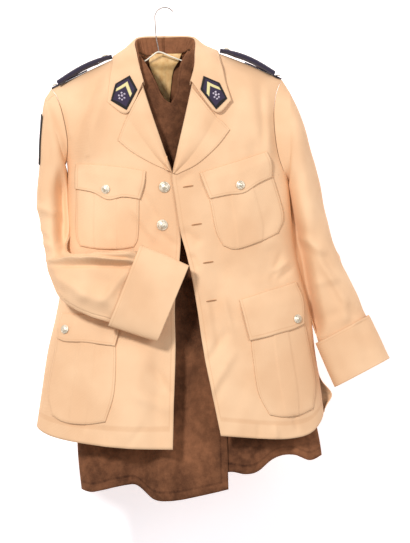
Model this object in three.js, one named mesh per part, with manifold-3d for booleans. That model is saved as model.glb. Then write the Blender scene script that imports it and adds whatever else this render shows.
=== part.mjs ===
// Officer's tunic on a wire hanger, with a brown wool coat hung inside it.
// Millimetres. x runs to the right as seen from the front, y to the back, z up.
// The origin is the top of the hook.
// Heights are kept as a drop below the origin, so z = -drop. Left and right are as seen from the front.
import * as THREE from "three";
import { mergeVertices } from "three/addons/utils/BufferGeometryUtils.js";
import Module from "manifold-3d";

const CLOTH = 1.6; // tunic cloth with its facing
const WOOL = 2.0; // coat cloth
const SEAM = 0.3; // gap between two pieces at a seam
const ROUNDNESS = 2.4; // exponent of the body's section: 2 is an ellipse
const SHOULDER_ROUND = 110; // drop over which the body fills out below the shoulder seam

const palette = {
  beige: { color: 0xf3cf9c, roughness: 0.85, metalness: 0 },
  brown: { color: 0x6e4326, roughness: 0.95, metalness: 0 },
  satin: { color: 0xc9964f, roughness: 0.4, metalness: 0 },
  navy: { color: 0x2c2740, roughness: 0.8, metalness: 0 },
  silver: { color: 0xd6d3cc, roughness: 0.3, metalness: 0.9 },
  cream: { color: 0xf1e6cf, roughness: 0.5, metalness: 0 },
};

const part = new THREE.Group();

function add(name, finish, geometry) {
  const mesh = new THREE.Mesh(geometry, new THREE.MeshStandardMaterial(palette[finish]));
  mesh.name = name;
  part.add(mesh);
  return mesh;
}

// A smooth function through one column of a table, against its key column.
function column(rows, key, value) {
  const keys = rows.map((row) => row[key]);
  const values = rows.map((row) => row[value]);
  const curve = new THREE.CubicInterpolant(keys, values, 1);
  const first = keys[0];
  const last = keys[keys.length - 1];
  return (k) => curve.evaluate(THREE.MathUtils.clamp(k, first, last))[0];
}

// A wall of even thickness under a grid of outer points.
// pointAt(u, v) gives a Vector3 for u and v from 0 to 1.
// outward(point) is any vector on the outer side. A closed wall joins u = 1 to u = 0.
// flat(normal, u, v) may turn the normal into the plane of a seam, so that two rims face each other.
function wall({ pointAt, across, down, thickness, outward, closed = false, flat = null }) {
  const columns = closed ? across : across + 1;
  const outer = [];
  for (let j = 0; j <= down; j++)
    for (let i = 0; i < columns; i++) outer.push(pointAt(i / across, j / down));
  const at = (i, j) => {
    const wrapped = closed ? (i + columns) % columns : THREE.MathUtils.clamp(i, 0, columns - 1);
    return outer[THREE.MathUtils.clamp(j, 0, down) * columns + wrapped];
  };
  const normals = [];
  for (let j = 0; j <= down; j++)
    for (let i = 0; i < columns; i++) {
      const alongU = at(i + 1, j).clone().sub(at(i - 1, j));
      const alongV = at(i, j + 1).clone().sub(at(i, j - 1));
      normals.push(alongU.cross(alongV).normalize());
    }
  const middle = Math.floor(down / 2) * columns + Math.floor(columns / 2);
  const turn = normals[middle].dot(outward(outer[middle])) < 0 ? -1 : 1;
  const inner = outer.map((point, k) => {
    const normal = normals[k].clone().multiplyScalar(turn);
    if (flat) flat(normal, (k % columns) / across, Math.floor(k / columns) / down, point);
    return point.clone().addScaledVector(normal.normalize(), -thickness);
  });
  const faces = [];
  const quad = (a, b, c, d) => faces.push(a, b, c, a, c, d);
  const count = outer.length;
  const id = (i, j) => j * columns + (closed ? i % columns : i);
  for (let j = 0; j < down; j++)
    for (let i = 0; i < across; i++) {
      quad(id(i, j), id(i + 1, j), id(i + 1, j + 1), id(i, j + 1));
      quad(count + id(i, j), count + id(i, j + 1), count + id(i + 1, j + 1), count + id(i + 1, j));
    }
  for (let i = 0; i < across; i++) {
    quad(id(i, 0), count + id(i, 0), count + id(i + 1, 0), id(i + 1, 0));
    quad(id(i, down), id(i + 1, down), count + id(i + 1, down), count + id(i, down));
  }
  if (!closed)
    for (let j = 0; j < down; j++) {
      quad(id(0, j), id(0, j + 1), count + id(0, j + 1), count + id(0, j));
      quad(id(across, j), count + id(across, j), count + id(across, j + 1), id(across, j + 1));
    }
  if (turn < 0) faces.reverse();
  const geometry = new THREE.BufferGeometry();
  const points = outer.concat(inner);
  geometry.setAttribute("position", new THREE.Float32BufferAttribute(points.flatMap((p) => p.toArray()), 3));
  geometry.setIndex(faces);
  return geometry;
}

const mix = THREE.MathUtils.lerp;
const step = THREE.MathUtils.smoothstep;
const toFront = () => new THREE.Vector3(0, -1, 0);
const toBack = () => new THREE.Vector3(0, 1, 0);

// A smooth curve through points given as [x, drop], walked by u from 0 to 1 in equal shares of the rows.
function line(points) {
  const across = column(points.map((p, k) => ({ k, value: p[0] })), "k", "value");
  const below = column(points.map((p, k) => ({ k, value: p[1] })), "k", "value");
  return (u) => new THREE.Vector2(across(u * (points.length - 1)), below(u * (points.length - 1)));
}

// ---------------------------------------------------------------- tunic body
const CENTRE = 4; // x of the body's middle plane
// Half sections of the body by drop: the sides' x, and how far the front and back stand from y = 0.
const BODY = [
  { drop: 60, left: -224, right: 233, front: 58, back: 44 },
  { drop: 158, left: -222, right: 230, front: 62, back: 47 },
  { drop: 205, left: -211, right: 226, front: 68, back: 50 },
  { drop: 260, left: -197, right: 227, front: 74, back: 52 },
  { drop: 300, left: -187, right: 233, front: 76, back: 53 },
  { drop: 340, left: -186, right: 237, front: 76, back: 54 },
  { drop: 447, left: -187, right: 247, front: 73, back: 54 },
  { drop: 510, left: -194, right: 259, front: 72, back: 55 },
  { drop: 591, left: -208, right: 279, front: 76, back: 58 },
  { drop: 656, left: -223, right: 287, front: 80, back: 61 },
  { drop: 741, left: -236, right: 300, front: 84, back: 64 },
  { drop: 850, left: -252, right: 311, front: 88, back: 67 },
];
const bodyLeft = column(BODY, "drop", "left");
const bodyRight = column(BODY, "drop", "right");
const bodyFront = column(BODY, "drop", "front");
const bodyBack = column(BODY, "drop", "back");
// The shoulder seam's drop by x.
const SHOULDER = [
  { x: -224, drop: 161 },
  { x: -160, drop: 129 },
  { x: -96, drop: 99 },
  { x: -62, drop: 84 },
  { x: 0, drop: 77 },
  { x: 62, drop: 77 },
  { x: 99, drop: 88 },
  { x: 165, drop: 113 },
  { x: 233, drop: 144 },
];
const shoulderDrop = column(SHOULDER, "x", "drop");
// Soft folds of the fronts, each along a line from its top to its foot. Depth is how far it stands forward.
const FRONT_FOLDS = [
  { x: -112, drop: 150, footX: -150, footDrop: 290, width: 26, depth: 6 },
  { x: -160, drop: 170, footX: -172, footDrop: 300, width: 16, depth: -5 },
  { x: 150, drop: 140, footX: 200, footDrop: 270, width: 24, depth: 5 },
  { x: 112, drop: 490, footX: 92, footDrop: 570, width: 20, depth: -4 },
  { x: 60, drop: 500, footX: 118, footDrop: 810, width: 26, depth: 5 },
  { x: 200, drop: 460, footX: 190, footDrop: 512, width: 18, depth: -4 },
  { x: -60, drop: 640, footX: -52, footDrop: 840, width: 26, depth: 6 },
  { x: -10, drop: 660, footX: -14, footDrop: 840, width: 16, depth: -5 },
];
function foldLift(folds, x, drop) {
  let lift = 0;
  for (const fold of folds) {
    const along = (drop - fold.drop) / (fold.footDrop - fold.drop);
    const away = x - mix(fold.x, fold.footX, THREE.MathUtils.clamp(along, 0, 1));
    const fade = step(along, -0.25, 0.25) * (1 - step(along, 0.85, 1.3));
    lift += fold.depth * fade * Math.exp(-((away / fold.width) ** 2));
  }
  return lift;
}
// How full the body is at a place, from 0 on a side or shoulder seam to 1 on its broad faces.
function fullness(x, drop) {
  const half = x < CENTRE ? CENTRE - bodyLeft(drop) : bodyRight(drop) - CENTRE;
  const share = Math.min(Math.abs(x - CENTRE) / half, 1);
  const section = (1 - share ** ROUNDNESS) ** (1 / ROUNDNESS);
  const below = THREE.MathUtils.clamp((drop - shoulderDrop(x)) / SHOULDER_ROUND, 0, 1);
  return section * Math.sqrt(1 - (1 - below) ** 2);
}
// y of the fronts' and the back's outer surface.
function frontY(x, drop) {
  const full = fullness(x, drop);
  return -SEAM / 2 - bodyFront(drop) * full - foldLift(FRONT_FOLDS, x, drop) * Math.min(1, full * 1.5);
}
const BACK_FOLDS = [
  { x: -90, drop: 470, footX: -120, footDrop: 820, width: 26, depth: 6 },
  { x: 6, drop: 200, footX: 10, footDrop: 820, width: 14, depth: -5 },
  { x: 110, drop: 460, footX: 150, footDrop: 820, width: 28, depth: 6 },
];
function backY(x, drop) {
  const full = fullness(x, drop);
  return SEAM / 2 + bodyBack(drop) * full + foldLift(BACK_FOLDS, x, drop) * Math.min(1, full * 1.5);
}
// The armhole edges, from the shoulder tip down to the underarm.
const ARMHOLE_LEFT = line([[-217, 158], [-206, 172], [-195, 203], [-187, 240], [-184.5, 268], [-187, 300]]);
const ARMHOLE_RIGHT = line([[223, 140], [213, 165], [208, 200], [210, 245], [218, 290], [236.6, 338]]);
const ARMHOLE_ROWS = 0.36; // share of a front's rows that lies along the armhole

// x at a row between a front edge and a side edge, spaced evenly round the section.
function between(edgeX, sideX, drop, u) {
  const half = sideX < CENTRE ? CENTRE - bodyLeft(drop) : bodyRight(drop) - CENTRE;
  const sign = sideX < CENTRE ? -1 : 1;
  const angle = (x) => Math.acos(THREE.MathUtils.clamp((sign * (x - CENTRE)) / half, -1, 1));
  return CENTRE + sign * half * Math.cos(mix(angle(edgeX), angle(sideX), u));
}
// The side of a panel: down the armhole, then down the side seam to the hem.
function sideAt(armhole, side, hemDrop, v) {
  if (v < ARMHOLE_ROWS) return armhole(v / ARMHOLE_ROWS);
  const drop = mix(armhole(1).y, hemDrop, (v - ARMHOLE_ROWS) / (1 - ARMHOLE_ROWS));
  return new THREE.Vector2(side(drop), drop);
}
const FRONT_EDGE_LEFT = line([
  [-62, 84.5], [-55, 115], [-42, 150], [-23, 209], [0, 276], [17, 322], [27, 365], [31, 431],
  [28, 490], [20, 568], [21, 656], [18, 750], [16, 844],
]);
const FRONT_EDGE_RIGHT = line([
  [62, 77.5], [59, 115], [52, 150], [38, 215], [26, 270], [15, 322], [20, 365], [31, 433],
  [47, 494], [62, 575], [76, 667], [91, 741], [107, 818],
]);
const HEM_LEFT = line([[16, 844], [-60, 842], [-140, 833], [-206, 820], [-250, 800]]);
const HEM_RIGHT = line([[107, 818], [150, 823], [205, 824], [262, 812], [305, 775]]);
const LAP = 5; // how far the buttonhole front stands before the button front where they lap

function lapLift(x, drop) {
  return -LAP * (1 - step(x, 40, 110)) * step(drop, 230, 300) * (1 - step(drop, 520, 640));
}
// On a side or shoulder seam the two rims face each other along y.
function seamFlat(normal, u, v, point) {
  if (Math.abs(point.y) < 1) normal.y = 0;
}
function frontPanel(edge, armhole, side, hem, lift) {
  const hemSideDrop = hem(1).y;
  return {
    pointAt(u, v) {
      const inner = edge(v);
      const outer = sideAt(armhole, side, hemSideDrop, v);
      const hemDip = hem(u).y - mix(edge(1).y, hemSideDrop, u);
      const seamX = between(edge(0).x, armhole(0).x, armhole(0).y, u);
      const seamDip = shoulderDrop(seamX) - mix(edge(0).y, armhole(0).y, u);
      const inside = Math.min(1, 20 * u, 20 * (1 - u));
      const dips = hemDip * step(v, 0.75, 1) + seamDip * inside * (1 - step(v, 0, 0.3));
      const drop = mix(inner.y, outer.y, u) + dips;
      const x = between(inner.x, outer.x, drop, u);
      return new THREE.Vector3(x, frontY(x, drop) + lift(x, drop), -drop);
    },
    outward: toFront,
    flat: seamFlat,
    thickness: CLOTH,
    across: 12,
    down: 20,
  };
}
const noLift = () => 0;
add("tunic_front_left", "beige", wall(frontPanel(FRONT_EDGE_LEFT, ARMHOLE_LEFT, bodyLeft, HEM_LEFT, noLift)));
add("tunic_front_right", "beige", wall(
  frontPanel(FRONT_EDGE_RIGHT, ARMHOLE_RIGHT, bodyRight, HEM_RIGHT, lapLift),
));

const BACK_NECK = { half: 62, dip: 24 };
const BACK_HEM = line([[-250, 800], [-120, 812], [20, 815], [180, 806], [305, 775]]);
// The corner of the back that swings out at the right side's vent: its middle, its half height and its reach.
const VENT = { drop: 741, half: 21, reach: 20, behind: 5 };
function backPoint(u, v) {
  const left = sideAt(ARMHOLE_LEFT, bodyLeft, BACK_HEM(0).y, v);
  const right = sideAt(ARMHOLE_RIGHT, bodyRight, BACK_HEM(1).y, v);
  const side = u < 0.5 ? left : right;
  const even = Math.abs(2 * u - 1);
  const share = mix(even, even ** 2, 0.4); // closer together at the neck
  const armhole = u < 0.5 ? ARMHOLE_LEFT : ARMHOLE_RIGHT;
  const seamX = between(CENTRE, armhole(0).x, armhole(0).y, share);
  const neck = Math.max(0, 1 - (seamX / BACK_NECK.half) ** 2);
  const topDrop = share > 0.999 ? armhole(0).y : shoulderDrop(seamX) + BACK_NECK.dip * neck;
  const sinkLeft = (left.y - ARMHOLE_LEFT(0).y) / (BACK_HEM(0).y - ARMHOLE_LEFT(0).y);
  const sinkRight = (right.y - ARMHOLE_RIGHT(0).y) / (BACK_HEM(1).y - ARMHOLE_RIGHT(0).y);
  const sink = mix((sinkLeft + sinkRight) / 2, u < 0.5 ? sinkLeft : sinkRight, share);
  const drop = mix(topDrop, BACK_HEM(u).y, sink);
  const x = between(CENTRE, side.x, drop, share);
  const swing = u < 0.5 ? 0 : step(share, 0.8, 1) * Math.exp(-(((drop - VENT.drop) / VENT.half) ** 2));
  return new THREE.Vector3(x + VENT.reach * swing, backY(x, drop) + VENT.behind * swing, -drop);
}
add("tunic_back", "beige", wall({
  pointAt: backPoint,
  outward: toBack,
  flat: seamFlat,
  thickness: CLOTH,
  across: 22,
  down: 26,
}));

// ---------------------------------------------------------------- collar and lapels
// Stations from the centre back round to the gorge:
// foot of the stand, roll edge, middle and edge of the fall.
// Each is x, y and drop.
const COLLAR_LEFT = [
  { stand: [0, 28, 99.6], roll: [0, 34, 62], mid: [0, 40.5, 88], fall: [0, 42, 118] },
  { stand: [-38, 20, 92.5], roll: [-44, 25, 64], mid: [-52, 34, 86], fall: [-62, 38, 112] },
  { stand: [-55, 4, 88], roll: [-57, 3, 70], mid: [-78, 7, 80], fall: [-96, 9, 92.5] },
  { stand: [-55, -27, 106], roll: [-54, -30, 90], mid: [-80, -31, 99], fall: [-101, -37, 118] },
  { stand: [-46.5, -43, 127], roll: [-49, -52, 118], mid: [-79, -58, 138], fall: [-106, -54, 152] },
  { stand: [-38, -55.5, 152], roll: [-42, -66, 148], mid: [-71, -70, 206], fall: [-110, -63, 184] },
];
const COLLAR_RIGHT = [
  { stand: [0, 28, 99.6], roll: [0, 34, 62], mid: [0, 40.5, 88], fall: [0, 42, 118] },
  { stand: [36, 17.5, 87.5], roll: [46, 25, 63], mid: [54, 34, 84], fall: [66, 38, 108] },
  { stand: [52, 2, 81.5], roll: [59, 3, 68], mid: [79, 7, 74], fall: [98, 9, 82] },
  { stand: [53.5, -27, 102], roll: [59.5, -33, 90], mid: [85, -39, 95], fall: [108, -45, 111] },
  { stand: [54.5, -43, 128], roll: [58, -54, 118], mid: [90, -60, 137], fall: [117, -56, 148] },
  { stand: [47.5, -55.5, 152], roll: [53, -68, 147], mid: [98, -74, 204], fall: [127, -66, 181] },
];
// Coordinates of one column of stations, smooth along the collar.
function stationCurve(stations, name) {
  const axes = [0, 1, 2].map((axis) =>
    column(stations.map((s, k) => ({ k, value: s[name][axis] })), "k", "value"));
  return (k) => new THREE.Vector3(axes[0](k), axes[1](k), -axes[2](k));
}
const COLLAR_PARTS = ["stand", "roll", "mid", "fall"];
const collarSides = [COLLAR_LEFT, COLLAR_RIGHT].map((side) =>
  COLLAR_PARTS.map((name) => stationCurve(side, name)));
const COLLAR_SECTION = [0, 0.3, 0.66, 1]; // where the four parts lie across the collar
function collarPoint(u, v) {
  const side = collarSides[u < 0.5 ? 0 : 1];
  const k = Math.abs(2 * u - 1) * (COLLAR_LEFT.length - 1);
  const points = side.map((curve) => curve(k));
  const axis = (name) => {
    const rows = points.map((p, n) => ({ at: COLLAR_SECTION[n], value: p[name] }));
    return column(rows, "at", "value")(v);
  };
  return new THREE.Vector3(axis("x"), axis("y"), axis("z"));
}
add("collar", "beige", wall({
  pointAt: collarPoint,
  outward: toBack,
  thickness: CLOTH,
  across: 22,
  down: 8,
}));

// The direction out of a front at a place on it.
function frontNormal(x, drop) {
  const reach = 8;
  const alongX = new THREE.Vector3(2 * reach, frontY(x + reach, drop) - frontY(x - reach, drop), 0);
  const alongZ = new THREE.Vector3(0, frontY(x, drop - reach) - frontY(x, drop + reach), 2 * reach);
  return alongX.cross(alongZ).normalize();
}
// A patch of cloth that lies on a front: four edges as lines of x and drop, and its lift off the front.
function patch(edges, lift) {
  const [top, bottom, inner, outer] = edges.map((points) => line(points));
  const corners = [top(0), top(1), bottom(0), bottom(1)];
  return (u, v) => {
    const blend = (name) =>
      mix(top(u)[name], bottom(u)[name], v) +
      mix(inner(v)[name], outer(v)[name], u) -
      mix(mix(corners[0][name], corners[1][name], u), mix(corners[2][name], corners[3][name], u), v);
    const x = blend("x");
    const drop = blend("y");
    const y = frontY(x, drop) + (x > CENTRE ? lapLift(x, drop) : 0);
    return new THREE.Vector3(x, y, -drop).addScaledVector(frontNormal(x, drop), lift(u, v));
  };
}
const PANEL_GAP = 0.9; // between a front and the inside of a piece that lies on it
const LAPEL_ROLL = 5; // how far the roll stands off the front
const lapelLift = (u) => PANEL_GAP + CLOTH - 0.1 + LAPEL_ROLL * Math.sin(Math.PI * Math.min(u / 0.5, 1));
const LAPEL_LEFT = [
  [[-40.5, 156], [-56, 186], [-71, 214], [-80, 236], [-88, 258]],
  [[14.5, 318.5], [13, 317.6], [11.3, 316.7], [9.6, 315.8], [8, 315]],
  [[-40.5, 156], [-23, 209], [0, 276], [14.5, 318.5]],
  [[-88, 258], [-62, 279], [-26, 300], [8, 315]],
];
const LAPEL_RIGHT = [
  [[51, 155.5], [74, 184], [98, 212], [111, 223], [124, 237]],
  [[15.5, 320], [17, 320.5], [19, 321], [21, 321.5], [23, 322]],
  [[51, 155.5], [38, 215], [25, 272], [15.5, 320]],
  [[124, 237], [100, 268], [62, 302], [23, 322]],
];
for (const [side, edges] of [["left", LAPEL_LEFT], ["right", LAPEL_RIGHT]]) {
  add("lapel_" + side, "beige", wall({
    pointAt: patch(edges, lapelLift),
    outward: toFront,
    thickness: CLOTH,
    across: 7,
    down: 8,
  }));
}

// ---------------------------------------------------------------- sleeves
// Rings of a sleeve from the cap down: its outer and inner edge as seen from the front, its middle's y and
// how far it stands to each side of that. The first ring is the armhole itself.
const SLEEVE_LEFT = [
  { outX: -229, outDrop: 176, inX: -189.5, inDrop: 303, y: -1, depth: 38 },
  { outX: -235, outDrop: 216, inX: -192, inDrop: 314, y: -2, depth: 43 },
  { outX: -238, outDrop: 268, inX: -196, inDrop: 332, y: -3, depth: 44 },
  { outX: -240, outDrop: 326, inX: -204, inDrop: 354, y: -5, depth: 44 },
  { outX: -242, outDrop: 382, inX: -213, inDrop: 392, y: -10, depth: 42 },
  { outX: -234, outDrop: 436, inX: -206, inDrop: 432, y: -20, depth: 40 },
  { outX: -225, outDrop: 486, inX: -192, inDrop: 458, y: -42, depth: 36 },
  { outX: -213, outDrop: 526, inX: -179, inDrop: 470, y: -66, depth: 29 },
  { outX: -198, outDrop: 556, inX: -162, inDrop: 473, y: -86, depth: 23 },
  { outX: -170, outDrop: 577, inX: -138, inDrop: 472, y: -99, depth: 18 },
  { outX: -139, outDrop: 592, inX: -112, inDrop: 469, y: -106, depth: 15 },
  { outX: -106, outDrop: 602, inX: -78, inDrop: 466, y: -109, depth: 15 },
  { outX: -62, outDrop: 615, inX: -10, inDrop: 476, y: -109, depth: 17.6 },
  { outX: -18, outDrop: 633, inX: 39, inDrop: 500, y: -109, depth: 18.1 },
];
const SLEEVE_RIGHT = [
  { outX: 240, outDrop: 164, inX: 239.5, inDrop: 342, y: 0, depth: 40 },
  { outX: 256, outDrop: 200, inX: 242, inDrop: 352, y: 0, depth: 44 },
  { outX: 270, outDrop: 242, inX: 246, inDrop: 368, y: 0, depth: 45 },
  { outX: 283, outDrop: 290, inX: 251, inDrop: 394, y: 0, depth: 45 },
  { outX: 297, outDrop: 340, inX: 258, inDrop: 426, y: -1, depth: 44 },
  { outX: 308, outDrop: 394, inX: 265, inDrop: 456, y: -2, depth: 43 },
  { outX: 321, outDrop: 450, inX: 273, inDrop: 488, y: -4, depth: 42 },
  { outX: 343, outDrop: 500, inX: 283, inDrop: 526, y: -6, depth: 40 },
  { outX: 366, outDrop: 548, inX: 290, inDrop: 576, y: -9, depth: 37 },
  { outX: 385, outDrop: 592, inX: 293, inDrop: 640, y: -12, depth: 34.2 },
  { outX: 404, outDrop: 630, inX: 307, inDrop: 680, y: -13, depth: 34.8 },
  { outX: 423, outDrop: 668, inX: 325, inDrop: 720, y: -14, depth: 35 },
];
const CUFF_LEFT = [
  { outX: -106, outDrop: 609, inX: -45, inDrop: 455, y: -109, depth: 20.2 },
  { outX: -61, outDrop: 624, inX: 2, inDrop: 474, y: -109, depth: 20.3 },
  { outX: -13, outDrop: 639, inX: 47, inDrop: 495, y: -109, depth: 20.4 },
];
const CUFF_RIGHT = [
  { outX: 390, outDrop: 589, inX: 288, inDrop: 644, y: -12.5, depth: 37 },
  { outX: 410, outDrop: 630, inX: 306, inDrop: 686, y: -13.3, depth: 37.2 },
  { outX: 430, outDrop: 671, inX: 324, inDrop: 727, y: -14, depth: 37.3 },
];
// A point of a ring at turn u: 0 is its outer edge, a quarter its front, a half its inner edge.
function ringPoint(ring, u, squareness) {
  const angle = 2 * Math.PI * u;
  const rounded = (value) => Math.sign(value) * Math.abs(value) ** (2 / squareness);
  const share = (1 - rounded(Math.cos(angle))) / 2;
  const x = mix(ring.outX, ring.inX, share);
  const drop = mix(ring.outDrop, ring.inDrop, share);
  return new THREE.Vector3(x, ring.y - ring.depth * rounded(Math.sin(angle)), -drop);
}
function armholePoint(armhole, sign, u) {
  const edge = armhole(u < 0.5 ? 2 * u : 2 - 2 * u);
  const y = u < 0.5 ? frontY(edge.x, edge.y) : backY(edge.x, edge.y);
  return new THREE.Vector3(edge.x + sign * 2.5 * SEAM, y, -edge.y);
}
const RING_PARTS = ["outX", "outDrop", "inX", "inDrop", "y", "depth"];
function tube(rings, squareness, start = null) {
  const parts = RING_PARTS.map((name) =>
    column(rings.map((ring, k) => ({ k, value: ring[name] })), "k", "value"));
  const first = start ? -1 : 0;
  return (u, v) => {
    const k = mix(first, rings.length - 1, v);
    const ring = Object.fromEntries(RING_PARTS.map((name, n) => [name, parts[n](Math.max(k, 0))]));
    const point = ringPoint(ring, u, squareness);
    return k < 0 ? start(u).lerp(point, 1 + k) : point;
  };
}
const sleeveLeft = tube(SLEEVE_LEFT, 2.3, (u) => armholePoint(ARMHOLE_LEFT, -1, u));
const sleeveRight = tube(SLEEVE_RIGHT, 2.3, (u) => armholePoint(ARMHOLE_RIGHT, 1, u));
const TUBES = [
  { name: "sleeve_left", point: sleeveLeft, around: 14, down: 24, halves: ["top", "under"] },
  { name: "sleeve_right", point: sleeveRight, around: 14, down: 22, halves: ["top", "under"] },
  { name: "cuff_left", point: tube(CUFF_LEFT, 2.8), around: 16, down: 3 },
  { name: "cuff_right", point: tube(CUFF_RIGHT, 2.8), around: 16, down: 3 },
];
for (const { name, point, around, down, halves } of TUBES) {
  const middle = point(0, 0.5).lerp(point(0.5, 0.5), 0.5);
  const away = (p) => p.clone().sub(middle);
  if (!halves) {
    add(name, "beige", wall({
      pointAt: point,
      outward: away,
      thickness: CLOTH,
      across: around,
      down,
      closed: true,
    }));
    continue;
  }
  halves.forEach((half, n) => {
    const shift = new THREE.Vector3(0, n ? SEAM / 2 : -SEAM / 2, 0);
    add(name + "_" + half, "beige", wall({
      pointAt: (u, v) => point((n + u) / 2, v).add(shift),
      outward: n ? toBack : toFront,
      flat(normal, u, v, p) {
        if (v < 0.001) normal.x = 0;
        if (u < 0.001 || u > 0.999) normal.copy(p).sub(point((((n + u) / 2) + 0.5) % 1, v)).setY(0);
      },
      thickness: CLOTH,
      across: around / 2,
      down,
    }));
  });
}

// ---------------------------------------------------------------- pockets and flaps
const POCKET_LIFT = PANEL_GAP + CLOTH; // outer face of a bag off its front
const PLEAT = 1.2; // how far a box pleat stands proud
const FLAP_LIFT = POCKET_LIFT + PLEAT + CLOTH + 0.6;
const POCKETS = [
  {
    name: "chest_pocket_left",
    edges: [
      [[-166, 328], [-130, 330], [-90, 333], [-49, 338]],
      [[-160, 458], [-130, 463], [-85, 464], [-58, 460]],
      [[-166, 328], [-168, 380], [-168, 435], [-160, 458]],
      [[-49, 338], [-48, 380], [-50, 440], [-58, 460]],
    ],
    pleat: [0.33, 0.62],
  },
  {
    name: "chest_pocket_right",
    edges: [
      [[80, 348], [120, 340], [160, 328], [200, 312]],
      [[112, 458], [137, 464], [185, 448], [216, 433]],
      [[80, 348], [88, 380], [98, 430], [112, 458]],
      [[200, 312], [212, 345], [226, 400], [216, 433]],
    ],
    pleat: [0.36, 0.66],
  },
  {
    name: "hip_pocket_left",
    edges: [
      [[-202, 618], [-165, 620], [-130, 624], [-93, 628]],
      [[-214, 780], [-190, 793], [-150, 797], [-112, 792]],
      [[-202, 618], [-211, 670], [-222, 735], [-214, 780]],
      [[-93, 628], [-92, 680], [-96, 740], [-112, 792]],
    ],
    pleat: [0.42, 0.66],
  },
  {
    name: "hip_pocket_right",
    edges: [
      [[162, 612], [196, 606], [231, 598], [264, 588]],
      [[200, 779], [225, 783], [255, 780], [282, 768]],
      [[162, 612], [168, 670], [178, 735], [200, 779]],
      [[264, 588], [274, 640], [287, 715], [282, 768]],
    ],
    pleat: [0.42, 0.66],
  },
];
for (const { name, edges, pleat } of POCKETS) {
  const lift = (u) =>
    POCKET_LIFT + PLEAT * step(u, pleat[0] - 0.04, pleat[0]) * (1 - step(u, pleat[1], pleat[1] + 0.04));
  add(name, "beige", wall({
    pointAt: patch(edges, lift),
    outward: toFront,
    thickness: CLOTH,
    across: 11,
    down: 6,
  }));
}
const FLAPS = [
  {
    name: "chest_flap_left",
    edges: [
      [[-168, 302], [-135, 303], [-101, 306], [-68, 310], [-35, 316]],
      [[-168, 349], [-135, 356], [-107, 370], [-78, 365], [-46, 369]],
      [[-168, 302], [-168, 325], [-168, 349]],
      [[-35, 316], [-38, 342], [-46, 369]],
    ],
    button: [-110, 350],
  },
  {
    name: "chest_flap_right",
    edges: [
      [[67, 320], [100, 309], [132, 299], [163, 289], [194, 278]],
      [[86, 368], [120, 361], [150, 357], [176, 340], [202, 327]],
      [[67, 320], [76, 344], [86, 368]],
      [[194, 278], [202, 300], [202, 327]],
    ],
    button: [143, 342],
  },
  {
    name: "hip_flap_left",
    edges: [
      [[-196, 586], [-168, 588], [-140, 590], [-112, 593], [-84, 597]],
      [[-202, 634], [-186, 640], [-150, 641], [-120, 645], [-93, 648]],
      [[-196, 586], [-200, 610], [-202, 634]],
      [[-84, 597], [-86, 620], [-93, 648]],
    ],
    button: [-186, 617],
  },
  {
    name: "hip_flap_right",
    edges: [
      [[142, 560], [170, 552], [197, 543], [224, 535], [250, 526]],
      [[162, 638], [190, 632], [218, 624], [243, 617], [264, 607]],
      [[142, 560], [152, 599], [162, 638]],
      [[250, 526], [262, 564], [264, 607]],
    ],
    button: [250, 597],
  },
];
for (const { name, edges } of FLAPS) {
  const lift = (u, v) => mix(POCKET_LIFT + 0.6, FLAP_LIFT, step(v, 0, 0.4));
  add(name, "beige", wall({
    pointAt: patch(edges, lift),
    outward: toFront,
    thickness: CLOTH,
    across: 8,
    down: 5,
  }));
}

// ---------------------------------------------------------------- buttons
const FRONT_BUTTON = 10.5;
const POCKET_BUTTON = 8.5;
const BOARD_BUTTON = 6;
const BUTTON_GAP = 0.5;
function buttonGeometry(radius) {
  const profile = [[0, 0], [0.92, 0], [1, 0.12], [0.92, 0.3], [0.7, 0.48], [0.38, 0.6], [0, 0.64]];
  return new THREE.LatheGeometry(profile.map(([r, h]) => new THREE.Vector2(r * radius, h * radius)), 10);
}
function addButton(name, radius, place, normal) {
  const button = add(name, "silver", buttonGeometry(radius));
  button.position.copy(place).addScaledVector(normal, BUTTON_GAP);
  button.quaternion.setFromUnitVectors(new THREE.Vector3(0, 1, 0), normal);
}
const FRONT_BUTTONS = [[0, 346], [-4, 418], [-7, 490], [-9, 562]];
FRONT_BUTTONS.forEach(([x, drop], k) =>
  addButton(
    "front_button_" + (k + 1),
    FRONT_BUTTON,
    new THREE.Vector3(x, frontY(x, drop), -drop),
    frontNormal(x, drop),
  ),
);
for (const { name, button: [x, drop] } of FLAPS) {
  const normal = frontNormal(x, drop);
  const place = new THREE.Vector3(x, frontY(x, drop), -drop).addScaledVector(normal, FLAP_LIFT + 0.3);
  addButton(name.replace("flap", "button"), POCKET_BUTTON, place, normal);
}

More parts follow.
